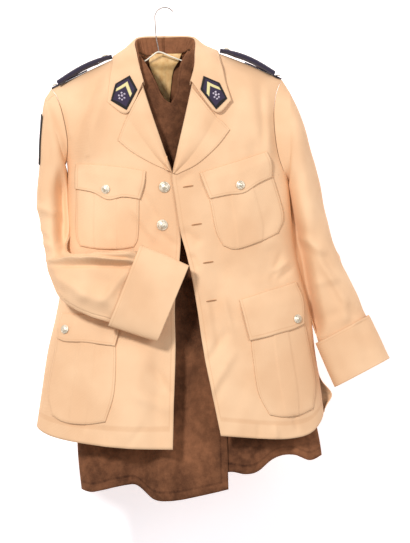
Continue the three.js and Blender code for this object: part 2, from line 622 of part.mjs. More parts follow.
// ---------------------------------------------------------------- shoulder boards
// The cloth loop under a board runs from its inner share out.
const LOOP = { half: 9, thickness: 2, lift: 0.6, inner: 0.45 };
const BOARD = { half: 24, thickness: 4, lift: LOOP.lift + LOOP.thickness + 0.6, bow: 6, buttonAt: 0.12 };
const BOARD_LEFT = { outerX: -206, innerX: -102, loopX: -217 };
const BOARD_RIGHT = { outerX: 211, innerX: 106, loopX: 224 };
for (const [side, { outerX, innerX, loopX }] of [["left", BOARD_LEFT], ["right", BOARD_RIGHT]]) {
  add("shoulder_loop_" + side, "navy", wall({
    pointAt(u, v) {
      const x = mix(mix(innerX, outerX, LOOP.inner), loopX, u);
      const z = -shoulderDrop(x) + LOOP.lift + LOOP.thickness;
      return new THREE.Vector3(x, mix(-LOOP.half, LOOP.half, v), z);
    },
    outward: () => new THREE.Vector3(0, 0, 1),
    thickness: LOOP.thickness,
    across: 5,
    down: 2,
  }));
  const boardPoint = (u, v) => {
    const x = mix(innerX, outerX, u);
    const halfWidth = BOARD.half * Math.min(1, 0.35 + 2.6 * u);
    const above = BOARD.lift + BOARD.thickness + BOARD.bow * Math.sin(Math.PI * u);
    return new THREE.Vector3(x, mix(-halfWidth, halfWidth, v), -shoulderDrop(x) + above);
  };
  add("shoulder_board_" + side, "navy", wall({
    pointAt: boardPoint,
    outward: () => new THREE.Vector3(0, 0, 1),
    thickness: BOARD.thickness,
    across: 6,
    down: 2,
  }));
  const seat = boardPoint(BOARD.buttonAt, 0.5);
  const slope = boardPoint(BOARD.buttonAt + 0.05, 0.5).sub(seat);
  const normal = new THREE.Vector3(0, 1, 0).cross(slope).normalize();
  if (normal.z < 0) normal.negate();
  addButton("board_button_" + side, BOARD_BUTTON, seat, normal);
}

// ---------------------------------------------------------------- collar patches
const PATCH = { thickness: 1.2, lift: 0.6 };
// The place on the collar's fall that shows at x and drop, found by following the surface's slope.
function onCollar(x, drop, lift) {
  let u = x < 0 ? 0.04 : 0.96;
  let v = 0.6;
  const tiny = 1e-3;
  for (let round = 0; round < 12; round++) {
    const here = collarPoint(u, v);
    const du = collarPoint(u + tiny, v).sub(here).divideScalar(tiny);
    const dv = collarPoint(u, v + tiny).sub(here).divideScalar(tiny);
    const missX = x - here.x;
    const missZ = -drop - here.z;
    const area = du.x * dv.z - dv.x * du.z;
    u = THREE.MathUtils.clamp(u + (missX * dv.z - missZ * dv.x) / area, 0, 1 - 2 * tiny);
    v = THREE.MathUtils.clamp(v + (missZ * du.x - missX * du.z) / area, 0.31, 1 - 2 * tiny);
  }
  const here = collarPoint(u, v);
  const normal = collarPoint(u + tiny, v).sub(here).cross(collarPoint(u, v + tiny).sub(here)).normalize();
  if (normal.y > 0) normal.negate();
  return here.addScaledVector(normal, lift);
}
// Corners of a patch, clockwise from its apex, which points up along the roll.
const PATCHES = [
  { name: "collar_patch_left", corners: [[-66, 134], [-51, 161], [-72, 200], [-102, 182], [-93, 150]] },
  { name: "collar_patch_right", corners: [[74, 135], [68, 161], [98, 199], [119, 178], [104, 148]] },
];
for (const { name, corners: [apex, rollSide, foot, tip, outerSide] } of PATCHES) {
  const place = (u, v) => {
    const top = u < 0.5
      ? [mix(outerSide[0], apex[0], 2 * u), mix(outerSide[1], apex[1], 2 * u)]
      : [mix(apex[0], rollSide[0], 2 * u - 1), mix(apex[1], rollSide[1], 2 * u - 1)];
    const base = [mix(tip[0], foot[0], u), mix(tip[1], foot[1], u)];
    return onCollar(mix(top[0], base[0], v), mix(top[1], base[1], v), PATCH.lift + PATCH.thickness);
  };
  add(name, "navy", wall({
    pointAt: place,
    outward: toFront,
    thickness: PATCH.thickness,
    across: 4,
    down: 3,
  }));
}

// ---------------------------------------------------------------- sleeve badge
const BADGE = { top: 0.125, foot: 0.255, spread: 0.085, thickness: 1.2, lift: 1.0 };
add("sleeve_badge", "navy", wall({
  pointAt(u, v) {
    const turn = (1 + mix(-BADGE.spread, BADGE.spread, u)) % 1;
    const along = mix(BADGE.top, BADGE.foot, v);
    const here = sleeveLeft(turn, along);
    const around = sleeveLeft((turn + 0.01) % 1, along).sub(here);
    const lengthways = sleeveLeft(turn, along + 0.01).sub(here);
    const normal = around.cross(lengthways).normalize();
    if (normal.x > 0) normal.negate();
    return here.addScaledVector(normal, BADGE.lift + BADGE.thickness);
  },
  outward: () => new THREE.Vector3(-1, 0, 0),
  thickness: BADGE.thickness,
  across: 4,
  down: 4,
}));

// ---------------------------------------------------------------- hanger
const WIRE = 1.4; // radius of the wire
const HOOK = { radius: 19, tipAngle: 0.62 };
const COAT_UNDER = CLOTH + 0.5; // from the tunic's shoulder seam down to the coat's
const COAT_ROUND = { front: 100, back: 60 }; // drop over which the coat fills out below its shoulder seam
// The arms carry the coat's shoulders.
const armDrop = (x) => shoulderDrop(x) + COAT_UNDER + WOOL + 0.8 + WIRE;
function wireAlong(points, steps) {
  const path = new THREE.CatmullRomCurve3(
    points.map(([x, drop]) => new THREE.Vector3(x, 0, -drop)), false, "centripetal",
  );
  const section = new THREE.Shape().absarc(0, 0, WIRE, 0, 2 * Math.PI);
  return new THREE.ExtrudeGeometry(section, {
    extrudePath: path,
    steps,
    curveSegments: 4,
    bevelEnabled: false,
  });
}
const hookArc = [];
for (let k = 0; k <= 8; k++) {
  const angle = mix(HOOK.tipAngle, Math.PI * 1.02, k / 8);
  hookArc.push([HOOK.radius * Math.cos(angle), HOOK.radius + WIRE - HOOK.radius * Math.sin(angle)]);
}
const hook = wireAlong([...hookArc, [-16.5, 58], [-13, 76], [-11, 87]], 22);
const arms = wireAlong([
  [-194, armDrop(-194)], [-150, armDrop(-150)], [-96, 116], [-44, 106], [-26, 95], [-11, 86.5],
  [14, 96], [43, 105], [96, 109], [150, armDrop(150)], [194, armDrop(194)],
], 30);
const wasm = await Module();
wasm.setup();
function solid(geometry) {
  const bare = geometry.clone();
  bare.deleteAttribute("normal");
  bare.deleteAttribute("uv");
  const merged = mergeVertices(bare, 1e-4);
  const triVerts = new Uint32Array(merged.index.array);
  return new wasm.Manifold(new wasm.Mesh({
    numProp: 3,
    vertProperties: new Float32Array(merged.attributes.position.array),
    triVerts,
  }));
}
function joined(first, second) {
  const mesh = solid(first).add(solid(second)).getMesh();
  const geometry = new THREE.BufferGeometry();
  geometry.setAttribute("position", new THREE.Float32BufferAttribute(mesh.vertProperties, 3));
  geometry.setIndex(Array.from(mesh.triVerts));
  return geometry;
}
add("hanger", "cream", joined(hook, arms));

// ---------------------------------------------------------------- coat
// Half sections of the coat by drop, like the tunic's.
const COAT = [
  { drop: 80, left: -178, right: 178, front: 46, back: 33 },
  { drop: 130, left: -176, right: 176, front: 46, back: 33 },
  { drop: 200, left: -168, right: 172, front: 46, back: 33 },
  { drop: 320, left: -156, right: 176, front: 42, back: 32 },
  { drop: 500, left: -158, right: 215, front: 40, back: 32 },
  { drop: 700, left: -164, right: 265, front: 42, back: 34 },
  { drop: 840, left: -167, right: 298, front: 45, back: 37 },
  { drop: 950, left: -156, right: 306, front: 46, back: 38 },
];
const coatLeft = column(COAT, "drop", "left");
const coatRight = column(COAT, "drop", "right");
const coatFront = column(COAT, "drop", "front");
const coatBack = column(COAT, "drop", "back");
// Folds that grow towards the hem: where they meet it, how wide they are and how far they stand out.
const COAT_FOLDS = [
  { x: -120, width: 22, depth: 7 },
  { x: -62, width: 24, depth: -12 },
  { x: 2, width: 34, depth: 14 },
  { x: 78, width: 22, depth: -5 },
  { x: 152, width: 16, depth: 7 },
  { x: 176, width: 12, depth: -6 },
  { x: 236, width: 26, depth: -9 },
  { x: 276, width: 16, depth: 6 },
];
const COAT_HEM_DROP = 900;
// Its shoulder seam lies on the hanger, under the tunic's, and dips under the foot of the tunic's collar.
const coatSeam = (x) => shoulderDrop(x) + COAT_UNDER + 6.5 * (1 - step(Math.abs(x), 62, 92));
function coatFullness(x, drop, round) {
  const middle = (coatLeft(drop) + coatRight(drop)) / 2;
  const half = (coatRight(drop) - coatLeft(drop)) / 2;
  const share = Math.min(Math.abs(x - middle) / half, 1);
  const below = THREE.MathUtils.clamp((drop - coatSeam(x)) / round, 0, 1);
  return (1 - share ** ROUNDNESS) ** (1 / ROUNDNESS) * Math.sqrt(1 - (1 - below) ** 2);
}
function coatFold(x, drop) {
  const growth = THREE.MathUtils.clamp((drop - 260) / (COAT_HEM_DROP - 260), 0, 1.1) ** 1.4;
  const spread = (x - coatLeft(drop)) / (coatRight(drop) - coatLeft(drop));
  const hemX = mix(coatLeft(COAT_HEM_DROP), coatRight(COAT_HEM_DROP), spread);
  let out = 0;
  for (const fold of COAT_FOLDS) out += fold.depth * Math.exp(-(((hemX - fold.x) / fold.width) ** 2));
  return out * growth;
}
function coatFrontY(x, drop) {
  const full = coatFullness(x, drop, COAT_ROUND.front);
  return -SEAM / 2 - coatFront(drop) * full - coatFold(x, drop) * full;
}
function coatBackY(x, drop) {
  const full = coatFullness(x, drop, COAT_ROUND.back);
  return SEAM / 2 + coatBack(drop) * full - 0.5 * coatFold(x, drop) * full;
}
// A panel between two edges given as x by drop. Its top and hem are drops by x.
function coatPanel({ from, to, top, hem, yAt, outward, across, down }) {
  const xAt = (drop, u) => {
    const middle = (coatLeft(drop) + coatRight(drop)) / 2;
    const half = (coatRight(drop) - coatLeft(drop)) / 2;
    const angle = (x) => Math.acos(THREE.MathUtils.clamp((middle - x) / half, -1, 1));
    return middle - half * Math.cos(mix(angle(from(drop)), angle(to(drop)), u));
  };
  const meet = (edge, start, u) => {
    let drop = start;
    for (let round = 0; round < 12; round++) drop = edge(xAt(drop, u));
    return drop;
  };
  return wall({
    pointAt(u, v) {
      const drop = mix(meet(top, 110, u), meet(hem, COAT_HEM_DROP, u), v ** 1.5);
      const x = xAt(drop, u);
      return new THREE.Vector3(x, yAt(x, drop), -drop);
    },
    outward,
    flat: seamFlat,
    thickness: WOOL,
    across,
    down,
  });
}
// Edges of the coat's panels, x by drop: its armholes and sides,
// and the front edges from the neck to the hem.
const byDrop = (points) => column(points.map(([drop, x]) => ({ drop, x })), "drop", "x");
const byX = (points) => column(points.map(([x, drop]) => ({ x, drop })), "x", "drop");
const COAT_SIDE_LEFT = byDrop([
  [80, -148], [128, -146], [170, -138], [220, -138], [262, -146], [300, -154.4], [320, -156],
]);
const COAT_SIDE_RIGHT = byDrop([
  [80, 148], [128, 146], [170, 139], [220, 141], [262, 152], [300, 170], [320, 176],
]);
const coatSideLeft = (drop) => (drop < 320 ? COAT_SIDE_LEFT(drop) : coatLeft(drop));
const coatSideRight = (drop) => (drop < 320 ? COAT_SIDE_RIGHT(drop) : coatRight(drop));
const COAT_EDGE_LEFT = byDrop([
  [80, -50], [90, -48], [114, -31], [150, -10], [175, 3], [195, 18], [230, 44],
  [300, 72], [400, 92], [800, 118], [930, 122],
]);
const COAT_EDGE_RIGHT = byDrop([
  [80, 50], [90, 48], [105, 40], [120, 33], [140, 27], [165, 23], [190, 14],
  [230, 12], [300, 34], [400, 66], [800, 92], [930, 96],
]);
const COAT_NECK = { half: 50, dip: 15 };
const coatNeck = (x) => coatSeam(x) + COAT_NECK.dip * Math.max(0, 1 - (x / COAT_NECK.half) ** 2);
const HEM_OF_LEFT = byX([
  [-167, 919], [-141, 927], [-123, 924], [-71, 913], [-54, 913],
  [-20, 940], [10, 943], [67, 934], [122, 921],
]);
const HEM_OF_RIGHT = byX([
  [90, 894], [128, 888], [152, 892], [176, 888], [203, 866],
  [223, 857], [248, 856], [279, 866], [305, 854],
]);
const HEM_OF_BACK = byX([[-167, 919], [-60, 898], [60, 884], [190, 852], [305, 854]]);
const LAP_GAP = 4.5; // how far the right front lies behind the left where they lap
add("coat_front_left", "brown", coatPanel({
  from: coatSideLeft,
  to: COAT_EDGE_LEFT,
  top: coatSeam,
  hem: HEM_OF_LEFT,
  yAt: coatFrontY,
  outward: toFront,
  across: 14,
  down: 15,
}));
add("coat_front_right", "brown", coatPanel({
  from: COAT_EDGE_RIGHT,
  to: coatSideRight,
  top: coatSeam,
  hem: HEM_OF_RIGHT,
  yAt: (x, drop) => {
    const past = step(x, COAT_EDGE_LEFT(drop), COAT_EDGE_LEFT(drop) + 40);
    return coatFrontY(x, drop) + LAP_GAP * (1 - past) * step(drop, 95, 135);
  },
  outward: toFront,
  across: 12,
  down: 14,
}));
add("coat_back", "brown", coatPanel({
  from: coatSideLeft,
  to: coatSideRight,
  top: coatNeck,
  hem: HEM_OF_BACK,
  yAt: coatBackY,
  outward: toBack,
  across: 18,
  down: 12,
}));

// The coat's standing collar, inside the tunic's from one side of the neck round the back to the other.
const COAT_COLLAR = { reach: 3.9, foot: 0.02, top: 0.84, gap: 2.5 };
add("coat_collar", "brown", wall({
  pointAt(u, v) {
    const [stand, roll] = collarSides[u < 0.5 ? 0 : 1];
    const k = Math.abs(2 * u - 1) * COAT_COLLAR.reach;
    const point = stand(k).lerp(roll(k), mix(COAT_COLLAR.top, COAT_COLLAR.foot, v));
    const along = stand(k + 0.1).sub(stand(Math.max(k - 0.1, 0)));
    const inward = new THREE.Vector3(along.y, -along.x, 0).normalize();
    if (u < 0.5) inward.negate();
    return point.addScaledVector(inward, COAT_COLLAR.gap + WOOL);
  },
  outward: toFront,
  thickness: WOOL,
  across: 24,
  down: 3,
}));

// The satin lining that shows inside the coat's neck, over its back: its left and right edges as x by drop.
const LINING = { thickness: 1, gap: 1.6, top: 89, foot: 184, neckY: 18.6, neckCurve: 0.0075 };
const LINING_LEFT = byDrop([[89, -24], [104, -30], [146, -15], [170, -4], [184, 3]]);
const LINING_RIGHT = byDrop([[89, 32], [104, 26], [120, 17], [150, 12], [184, 9]]);
add("coat_lining", "satin", wall({
  pointAt(u, v) {
    const drop = mix(LINING.top, LINING.foot, v);
    const x = mix(LINING_LEFT(drop), LINING_RIGHT(drop), u);
    const onBack = coatBackY(x, drop) - WOOL - LINING.gap - LINING.thickness;
    const onCollar = LINING.neckY - LINING.neckCurve * x * x;
    const clearOfBack = onBack + 99 * step(drop, 112, 100);
    const y = mix(Math.min(onCollar, clearOfBack), onBack, step(drop, 104, 122));
    return new THREE.Vector3(x, y, -drop);
  },
  outward: toFront,
  thickness: LINING.thickness,
  across: 8,
  down: 8,
}));

export default part;
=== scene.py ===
import math

import bmesh
import bpy
import numpy as np
from mathutils import Matrix, Vector


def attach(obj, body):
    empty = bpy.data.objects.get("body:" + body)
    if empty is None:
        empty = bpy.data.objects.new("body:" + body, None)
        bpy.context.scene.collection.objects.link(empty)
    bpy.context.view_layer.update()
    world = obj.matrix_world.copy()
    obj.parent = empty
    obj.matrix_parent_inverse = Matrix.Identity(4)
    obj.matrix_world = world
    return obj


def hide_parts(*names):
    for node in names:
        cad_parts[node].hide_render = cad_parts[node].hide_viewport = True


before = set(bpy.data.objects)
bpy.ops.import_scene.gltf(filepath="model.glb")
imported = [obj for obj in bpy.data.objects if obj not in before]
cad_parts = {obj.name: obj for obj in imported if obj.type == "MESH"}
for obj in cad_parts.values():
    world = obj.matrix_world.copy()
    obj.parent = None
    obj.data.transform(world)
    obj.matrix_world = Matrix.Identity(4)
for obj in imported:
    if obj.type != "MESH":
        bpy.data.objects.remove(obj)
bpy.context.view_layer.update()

# ---------------------------------------------------------------- camera
# The uniform is looked at straight on, from as far away as a long lens needs to show it whole.
SIGHT_CENTRE = Vector((0.0769, -0.06, -0.5063))  # middle of the picture, on the fronts
SIGHT_HEIGHT = 1.0317  # what the picture's long side takes in there
SIGHT_DISTANCE = 9.2
lens_data = bpy.data.cameras.new("camera")
lens_data.sensor_width = 36.0
lens_data.lens = lens_data.sensor_width * SIGHT_DISTANCE / SIGHT_HEIGHT
lens_data.clip_end = 50.0
camera = bpy.data.objects.new("camera", lens_data)
bpy.context.collection.objects.link(camera)
camera.location = SIGHT_CENTRE + Vector((0.0, -SIGHT_DISTANCE, 0.0))
camera.rotation_euler = (math.pi / 2, 0.0, 0.0)
bpy.context.scene.camera = camera

# ---------------------------------------------------------------- tunic: fronts and back
# Two fronts and a back in smooth beige twill, sewn at the shoulders and sides, faced along the front edges.
# Metres in Blender; the tables below are in millimetres, as a cutter writes them, and MM turns them.
MM = 0.001
CLOTH = 1.5
SEAM = 0.3
CENTRE = 4.0
ROUNDNESS = 2.4
SHOULDER_ROUND = 110.0


def smooth(keys, values):
    """A smooth function through a column of a table against its key, held level past both ends."""
    keys = np.asarray(keys, float)
    values = np.asarray(values, float)
    gaps = np.diff(keys)
    slopes = np.diff(values) / gaps
    tangents = np.concatenate((slopes[:1], (slopes[:-1] + slopes[1:]) / 2, slopes[-1:]))

    def at(k):
        k = np.clip(np.asarray(k, float), keys[0], keys[-1])
        row = np.clip(np.searchsorted(keys, k, side="right") - 1, 0, len(gaps) - 1)
        gap = gaps[row]
        t = (k - keys[row]) / gap
        one = (1 + 2 * t) * (1 - t) ** 2 * values[row]
        two = t * (1 - t) ** 2 * gap * tangents[row]
        three = t * t * (3 - 2 * t) * values[row + 1]
        four = t * t * (t - 1) * gap * tangents[row + 1]
        return one + two + three + four

    return at


def mix(a, b, t):
    return a + (b - a) * t


def ease(value, start, end):
    t = np.clip((np.asarray(value, float) - start) / (end - start), 0.0, 1.0)
    return t * t * (3 - 2 * t)


def line(points):
    """A smooth line through [x, drop] points, walked by u from 0 to 1 in equal shares of its rows."""
    rows = np.asarray(points, float)
    steps = np.arange(len(rows))
    across = smooth(steps, rows[:, 0])
    below = smooth(steps, rows[:, 1])
    return lambda u: (across(np.asarray(u) * steps[-1]), below(np.asarray(u) * steps[-1]))


# drop below the hook's top, x of the left and right side, depth of the front and back
BODY = np.array([
    (60, -224, 233, 58, 44), (158, -222, 230, 62, 47), (205, -211, 226, 68, 50), (260, -197, 227, 74, 52),
    (300, -187, 233, 76, 53), (340, -186, 237, 76, 54), (447, -187, 247, 73, 54), (510, -194, 259, 72, 55),
    (591, -208, 279, 76, 58), (656, -223, 287, 80, 61), (741, -236, 300, 84, 64), (850, -252, 311, 88, 67),
], float)
body_left, body_right, body_front, body_back = (smooth(BODY[:, 0], BODY[:, k]) for k in range(1, 5))
SHOULDER = np.array([
    (-224, 161), (-160, 129), (-96, 99), (-62, 84), (0, 77), (62, 77), (99, 88), (165, 113), (233, 144),
], float)
shoulder_drop = smooth(SHOULDER[:, 0], SHOULDER[:, 1])

# x and drop of a fold's top, x and drop of its foot, half its width, how far it stands out
FRONT_FOLDS = [
    (-112, 150, -150, 290, 26, 6), (-160, 170, -172, 300, 16, -5), (150, 140, 200, 270, 24, 5),
    (112, 490, 92, 570, 20, -4), (60, 500, 118, 810, 26, 5), (200, 460, 190, 512, 18, -4),
    (-60, 640, -52, 840, 26, 6), (-10, 660, -14, 840, 16, -5),
]
# finer creases, which the cloth carries between its pockets and edges
FRONT_CREASES = [
    (-122, 128, -158, 226, 9, -3.2), (-100, 120, -140, 240, 10, 2.4), (-188, 190, -180, 250, 7, 2.2),
    (-44, 352, -18, 402, 9, -2.2), (-60, 388, -22, 440, 8, 2.0), (-14, 430, 18, 455, 7, -2.0),
    (-146, 288, -150, 300, 5, -1.4), (-20, 690, 12, 742, 10, -2.6), (-58, 742, 4, 768, 9, 1.8),
    (-40, 800, -70, 838, 8, -1.5), (-150, 806, -152, 832, 6, 1.4), (-116, 800, -112, 836, 6, -1.3),
    (38, 282, 62, 262, 8, -2.4), (28, 336, 50, 318, 8, -2.4), (36, 430, 64, 452, 10, -3.2),
    (196, 150, 200, 290, 9, 2.6), (182, 160, 188, 250, 8, -2.6), (222, 470, 206, 520, 7, -2.4),
    (236, 488, 208, 506, 5, 3.0), (246, 500, 216, 522, 5, -2.6), (92, 566, 104, 640, 8, -2.6),
    (70, 560, 78, 640, 7, -2.2), (112, 556, 128, 620, 7, 2.6), (120, 620, 84, 676, 10, -2.6),
    (132, 660, 90, 736, 10, 2.4), (112, 706, 92, 760, 9, -2.0), (210, 800, 214, 820, 5, 1.8),
    (178, 796, 180, 820, 6, -1.5), (246, 780, 252, 808, 6, -1.5), (52, 476, 62, 500, 7, -3.0),
    (80, 240, 140, 268, 18, -2.0), (110, 250, 160, 262, 14, 1.6),
]
BACK_FOLDS = [
    (-90, 470, -120, 820, 26, 6), (6, 200, 10, 820, 14, -5), (110, 460, 150, 820, 28, 6),
]
BACK_CREASES = [
    (-120, 150, -84, 300, 22, 3.5), (130, 150, 90, 310, 22, 3.5), (-60, 430, 60, 444, 12, -2.6),
    (-100, 452, 20, 470, 11, 2.2), (-30, 480, 110, 470, 12, -2.4), (60, 520, 84, 700, 14, -2.6),
    (-60, 520, -70, 760, 16, -3.0), (-150, 560, -176, 780, 15, 3.2), (180, 560, 224, 780, 16, 3.0),
    (0, 128, 60, 150, 14, -1.8), (-170, 240, -150, 360, 10, -2.4), (186, 250, 176, 380, 10, -2.2),
]


def fold_lift(folds, x, drop):
    """How far soft folds lift a panel, each along a line that fades at both ends."""
    lift = np.zeros(np.broadcast(x, drop).shape)
    for top_x, top, foot_x, foot, width, depth in folds:
        run_x = foot_x - top_x
        run_z = foot - top
        length = math.hypot(run_x, run_z)
        steep = abs(run_z) >= abs(run_x)
        along = ((x - top_x) * run_x + (drop - top) * run_z) / length**2
        if steep:
            along = (drop - top) / run_z
            away = x - mix(top_x, foot_x, np.clip(along, 0, 1))
        else:
            away = ((x - top_x) * run_z - (drop - top) * run_x) / length
        fade = ease(along, -0.25, 0.25) * (1 - ease(along, 0.85, 1.3))
        lift = lift + depth * fade * np.exp(-((away / width) ** 2))
    return lift


# the slack of pressed cloth that has hung for long: wave lengths across and down, a start, and a height
SLACK = [(74, 190, 0.4, 0.8), (-118, 150, 2.1, 0.9), (53, -260, 4.0, 0.55), (38, 96, 1.3, 0.35), (-46, 71, 5.2, 0.3)]


def slack(x, drop):
    """Low uneven swells of the cloth between its creases."""
    swell = sum(height * np.sin(2 * np.pi * (x / across + drop / down) + start)
                for across, down, start, height in SLACK)
    return swell * (0.65 + 0.35 * np.sin(x / 61.0 + 1.0) * np.sin(drop / 83.0))


def calm(x, drop):
    """0 under the turned-back lapels, whose canvas keeps the cloth flat, and 1 elsewhere."""
    return 1 - ease(drop, 135, 165) * (1 - ease(drop, 300, 330)) * (1 - ease(np.abs(x - 14), 88, 122))


def fullness(x, drop):
    half = np.where(x < CENTRE, CENTRE - body_left(drop), body_right(drop) - CENTRE)
    share = np.minimum(np.abs(x - CENTRE) / half, 1.0)
    section = (1 - share**ROUNDNESS) ** (1 / ROUNDNESS)
    below = np.clip((drop - shoulder_drop(x)) / SHOULDER_ROUND, 0.0, 1.0)
    return section * np.sqrt(1 - (1 - below) ** 2)


def front_y(x, drop, fine=True):
    full = fullness(x, drop)
    lift = fold_lift(FRONT_FOLDS, x, drop)
    if fine:
        lift = lift + (1.35 * fold_lift(FRONT_CREASES, x, drop) + slack(x, drop)) * calm(x, drop)
    return -SEAM / 2 - body_front(drop) * full - lift * np.minimum(1.0, full * 1.5)


def back_y(x, drop):
    full = fullness(x, drop)
    lift = fold_lift(BACK_FOLDS, x, drop) + fold_lift(BACK_CREASES, x, drop) + slack(x + 30, drop)
    return SEAM / 2 + body_back(drop) * full + lift * np.minimum(1.0, full * 1.5)


# The armhole edges, from the shoulder tip down to the underarm, and the cut edges of the fronts.
ARMHOLE_LEFT = line([(-217, 158), (-206, 172), (-195, 203), (-187, 240), (-184.5, 268), (-187, 300)])
ARMHOLE_RIGHT = line([(223, 140), (213, 165), (208, 200), (210, 245), (218, 290), (236.6, 338)])
ARMHOLE_ROWS = 0.36
FRONT_EDGE_LEFT = line([
    (-62, 84.5), (-55, 115), (-42, 150), (-23, 209), (0, 276), (17, 322), (27, 365), (31, 431),
    (28, 490), (20, 568), (21, 656), (18, 750), (16, 844),
])
FRONT_EDGE_RIGHT = line([
    (62, 77.5), (59, 115), (52, 150), (38, 215), (26, 270), (15, 322), (20, 365), (31, 433),
    (47, 494), (62, 575), (76, 667), (91, 741), (107, 818),
])
HEM_LEFT = line([(16, 844), (-60, 842), (-140, 833), (-206, 820), (-250, 800)])
HEM_RIGHT = line([(107, 818), (150, 823), (205, 824), (262, 812), (305, 775)])
LAP = 5.0


def lap_lift(x, drop):
    return -LAP * (1 - ease(x, 40, 110)) * ease(drop, 230, 300) * (1 - ease(drop, 520, 640))


def between(edge_x, side_x, side, drop, u):
    """x between a front edge and a side edge, spaced evenly round the section. side is -1 or 1."""
    half = np.where(side < 0, CENTRE - body_left(drop), body_right(drop) - CENTRE)
    near = np.arccos(np.clip(side * (edge_x - CENTRE) / half, -1, 1))
    far = np.arccos(np.clip(side * (side_x - CENTRE) / half, -1, 1))
    return CENTRE + side * half * np.cos(mix(near, far, u))


def side_at(armhole, side, hem_drop, v):
    arm_x, arm_drop = armhole(np.minimum(v / ARMHOLE_ROWS, 1.0))
    foot = armhole(1.0)[1]
    drop = mix(foot, hem_drop, np.clip((v - ARMHOLE_ROWS) / (1 - ARMHOLE_ROWS), 0, 1))
    return np.where(v < ARMHOLE_ROWS, arm_x, side(drop)), np.where(v < ARMHOLE_ROWS, arm_drop, drop)


def front_point(edge, armhole, side, sign, hem, lift):
    hem_side = float(hem(1.0)[1])

    def at(u, v):
        inner_x, inner_drop = edge(v)
        outer_x, outer_drop = side_at(armhole, side, hem_side, v)
        hem_dip = hem(u)[1] - mix(float(edge(1.0)[1]), hem_side, u)
        start_x, start_drop = (float(c) for c in edge(0.0))
        tip_x, tip_drop = (float(c) for c in armhole(0.0))
        seam_x = between(start_x, tip_x, sign, tip_drop, u)
        seam_dip = shoulder_drop(seam_x) - mix(start_drop, tip_drop, u)
        inside = np.minimum(1.0, np.minimum(20 * u, 20 * (1 - u)))
        drop = mix(inner_drop, outer_drop, u) + hem_dip * ease(v, 0.75, 1)
        drop = drop + seam_dip * inside * (1 - ease(v, 0, 0.3))
        x = between(inner_x, outer_x, sign, drop, u)
        return x, front_y(x, drop) + lift(x, drop), drop

    return at


def into_scene(bm, name):
    """A smooth-shaded object from a mesh being built, which is freed."""
    for face in bm.faces:
        face.smooth = True
    data = bpy.data.meshes.new(name)
    bm.to_mesh(data)
    bm.free()
    piece = bpy.data.objects.new(name, data)
    bpy.context.collection.objects.link(piece)
    return piece


def cloth_mesh(name, point_at, across, down, outward, closed=False, shell=CLOTH):
    """A grid of cloth moved on to point_at(u, v), which gives x, y and drop in millimetres.
    shell is its thickness, which grows inwards. outward is a direction on the outer side, or None
    for a tube round its own middle."""
    bm = bmesh.new()
    bmesh.ops.create_grid(bm, x_segments=across, y_segments=down, size=0.5)
    uv = bm.loops.layers.uv.new("cut")
    where = {vert: (vert.co.x + 0.5, 0.5 - vert.co.y) for vert in bm.verts}
    for face in bm.faces:
        for loop in face.loops:
            loop[uv].uv = where[loop.vert]
    verts = list(bm.verts)
    us = np.array([where[vert][0] for vert in verts])
    vs = np.array([where[vert][1] for vert in verts])
    x, y, drop = (np.broadcast_to(c, us.shape) for c in point_at(us, vs))
    for vert, a, b, c in zip(verts, x, y, drop):
        vert.co = (a * MM, b * MM, -c * MM)
    if closed:
        rim = [vert for vert in verts if vert.is_boundary and where[vert][0] in (0.0, 1.0)]
        bmesh.ops.remove_doubles(bm, verts=rim, dist=0.02 * MM)
    bm.normal_update()
    faces = list(bm.faces)
    if outward is None:
        ring = {}
        for face in faces:
            row = round(sum(loop[uv].uv.y for loop in face.loops) / len(face.loops) * down - 0.5)
            ring.setdefault(row, []).append(face)
        row = ring[down // 2]
        middle = sum((face.calc_center_median() for face in row), Vector()) / len(row)
        facing = sum(face.normal.dot(face.calc_center_median() - middle) * face.calc_area() for face in row)
    else:
        facing = sum(face.normal.dot(Vector(outward)) * face.calc_area() for face in faces)
    if facing < 0:
        bmesh.ops.reverse_faces(bm, faces=faces)
    piece = into_scene(bm, name)
    if shell:
        wall = piece.modifiers.new("thickness", "SOLIDIFY")
        wall.thickness = shell * MM
        wall.offset = -1.0
        wall.use_even_offset = False
        wall.use_rim = True
    return piece


def no_lift(x, drop):
    return 0.0


left_front_at = front_point(FRONT_EDGE_LEFT, ARMHOLE_LEFT, body_left, -1, HEM_LEFT, no_lift)
right_front_at = front_point(FRONT_EDGE_RIGHT, ARMHOLE_RIGHT, body_right, 1, HEM_RIGHT, lap_lift)
front_left = cloth_mesh("front_left", left_front_at, 110, 200, (0, -1, 0))
front_right = cloth_mesh("front_right", right_front_at, 110, 200, (0, -1, 0))
BACK_NECK_HALF = 62.0
BACK_NECK_DIP = 24.0
# where the back's side edge swings out past the front's, and how far
VENT = {"drop": 741, "half": 21, "reach": 20, "behind": 5}
BACK_HEM = line([(-250, 800), (-120, 812), (20, 815), (180, 806), (305, 775)])


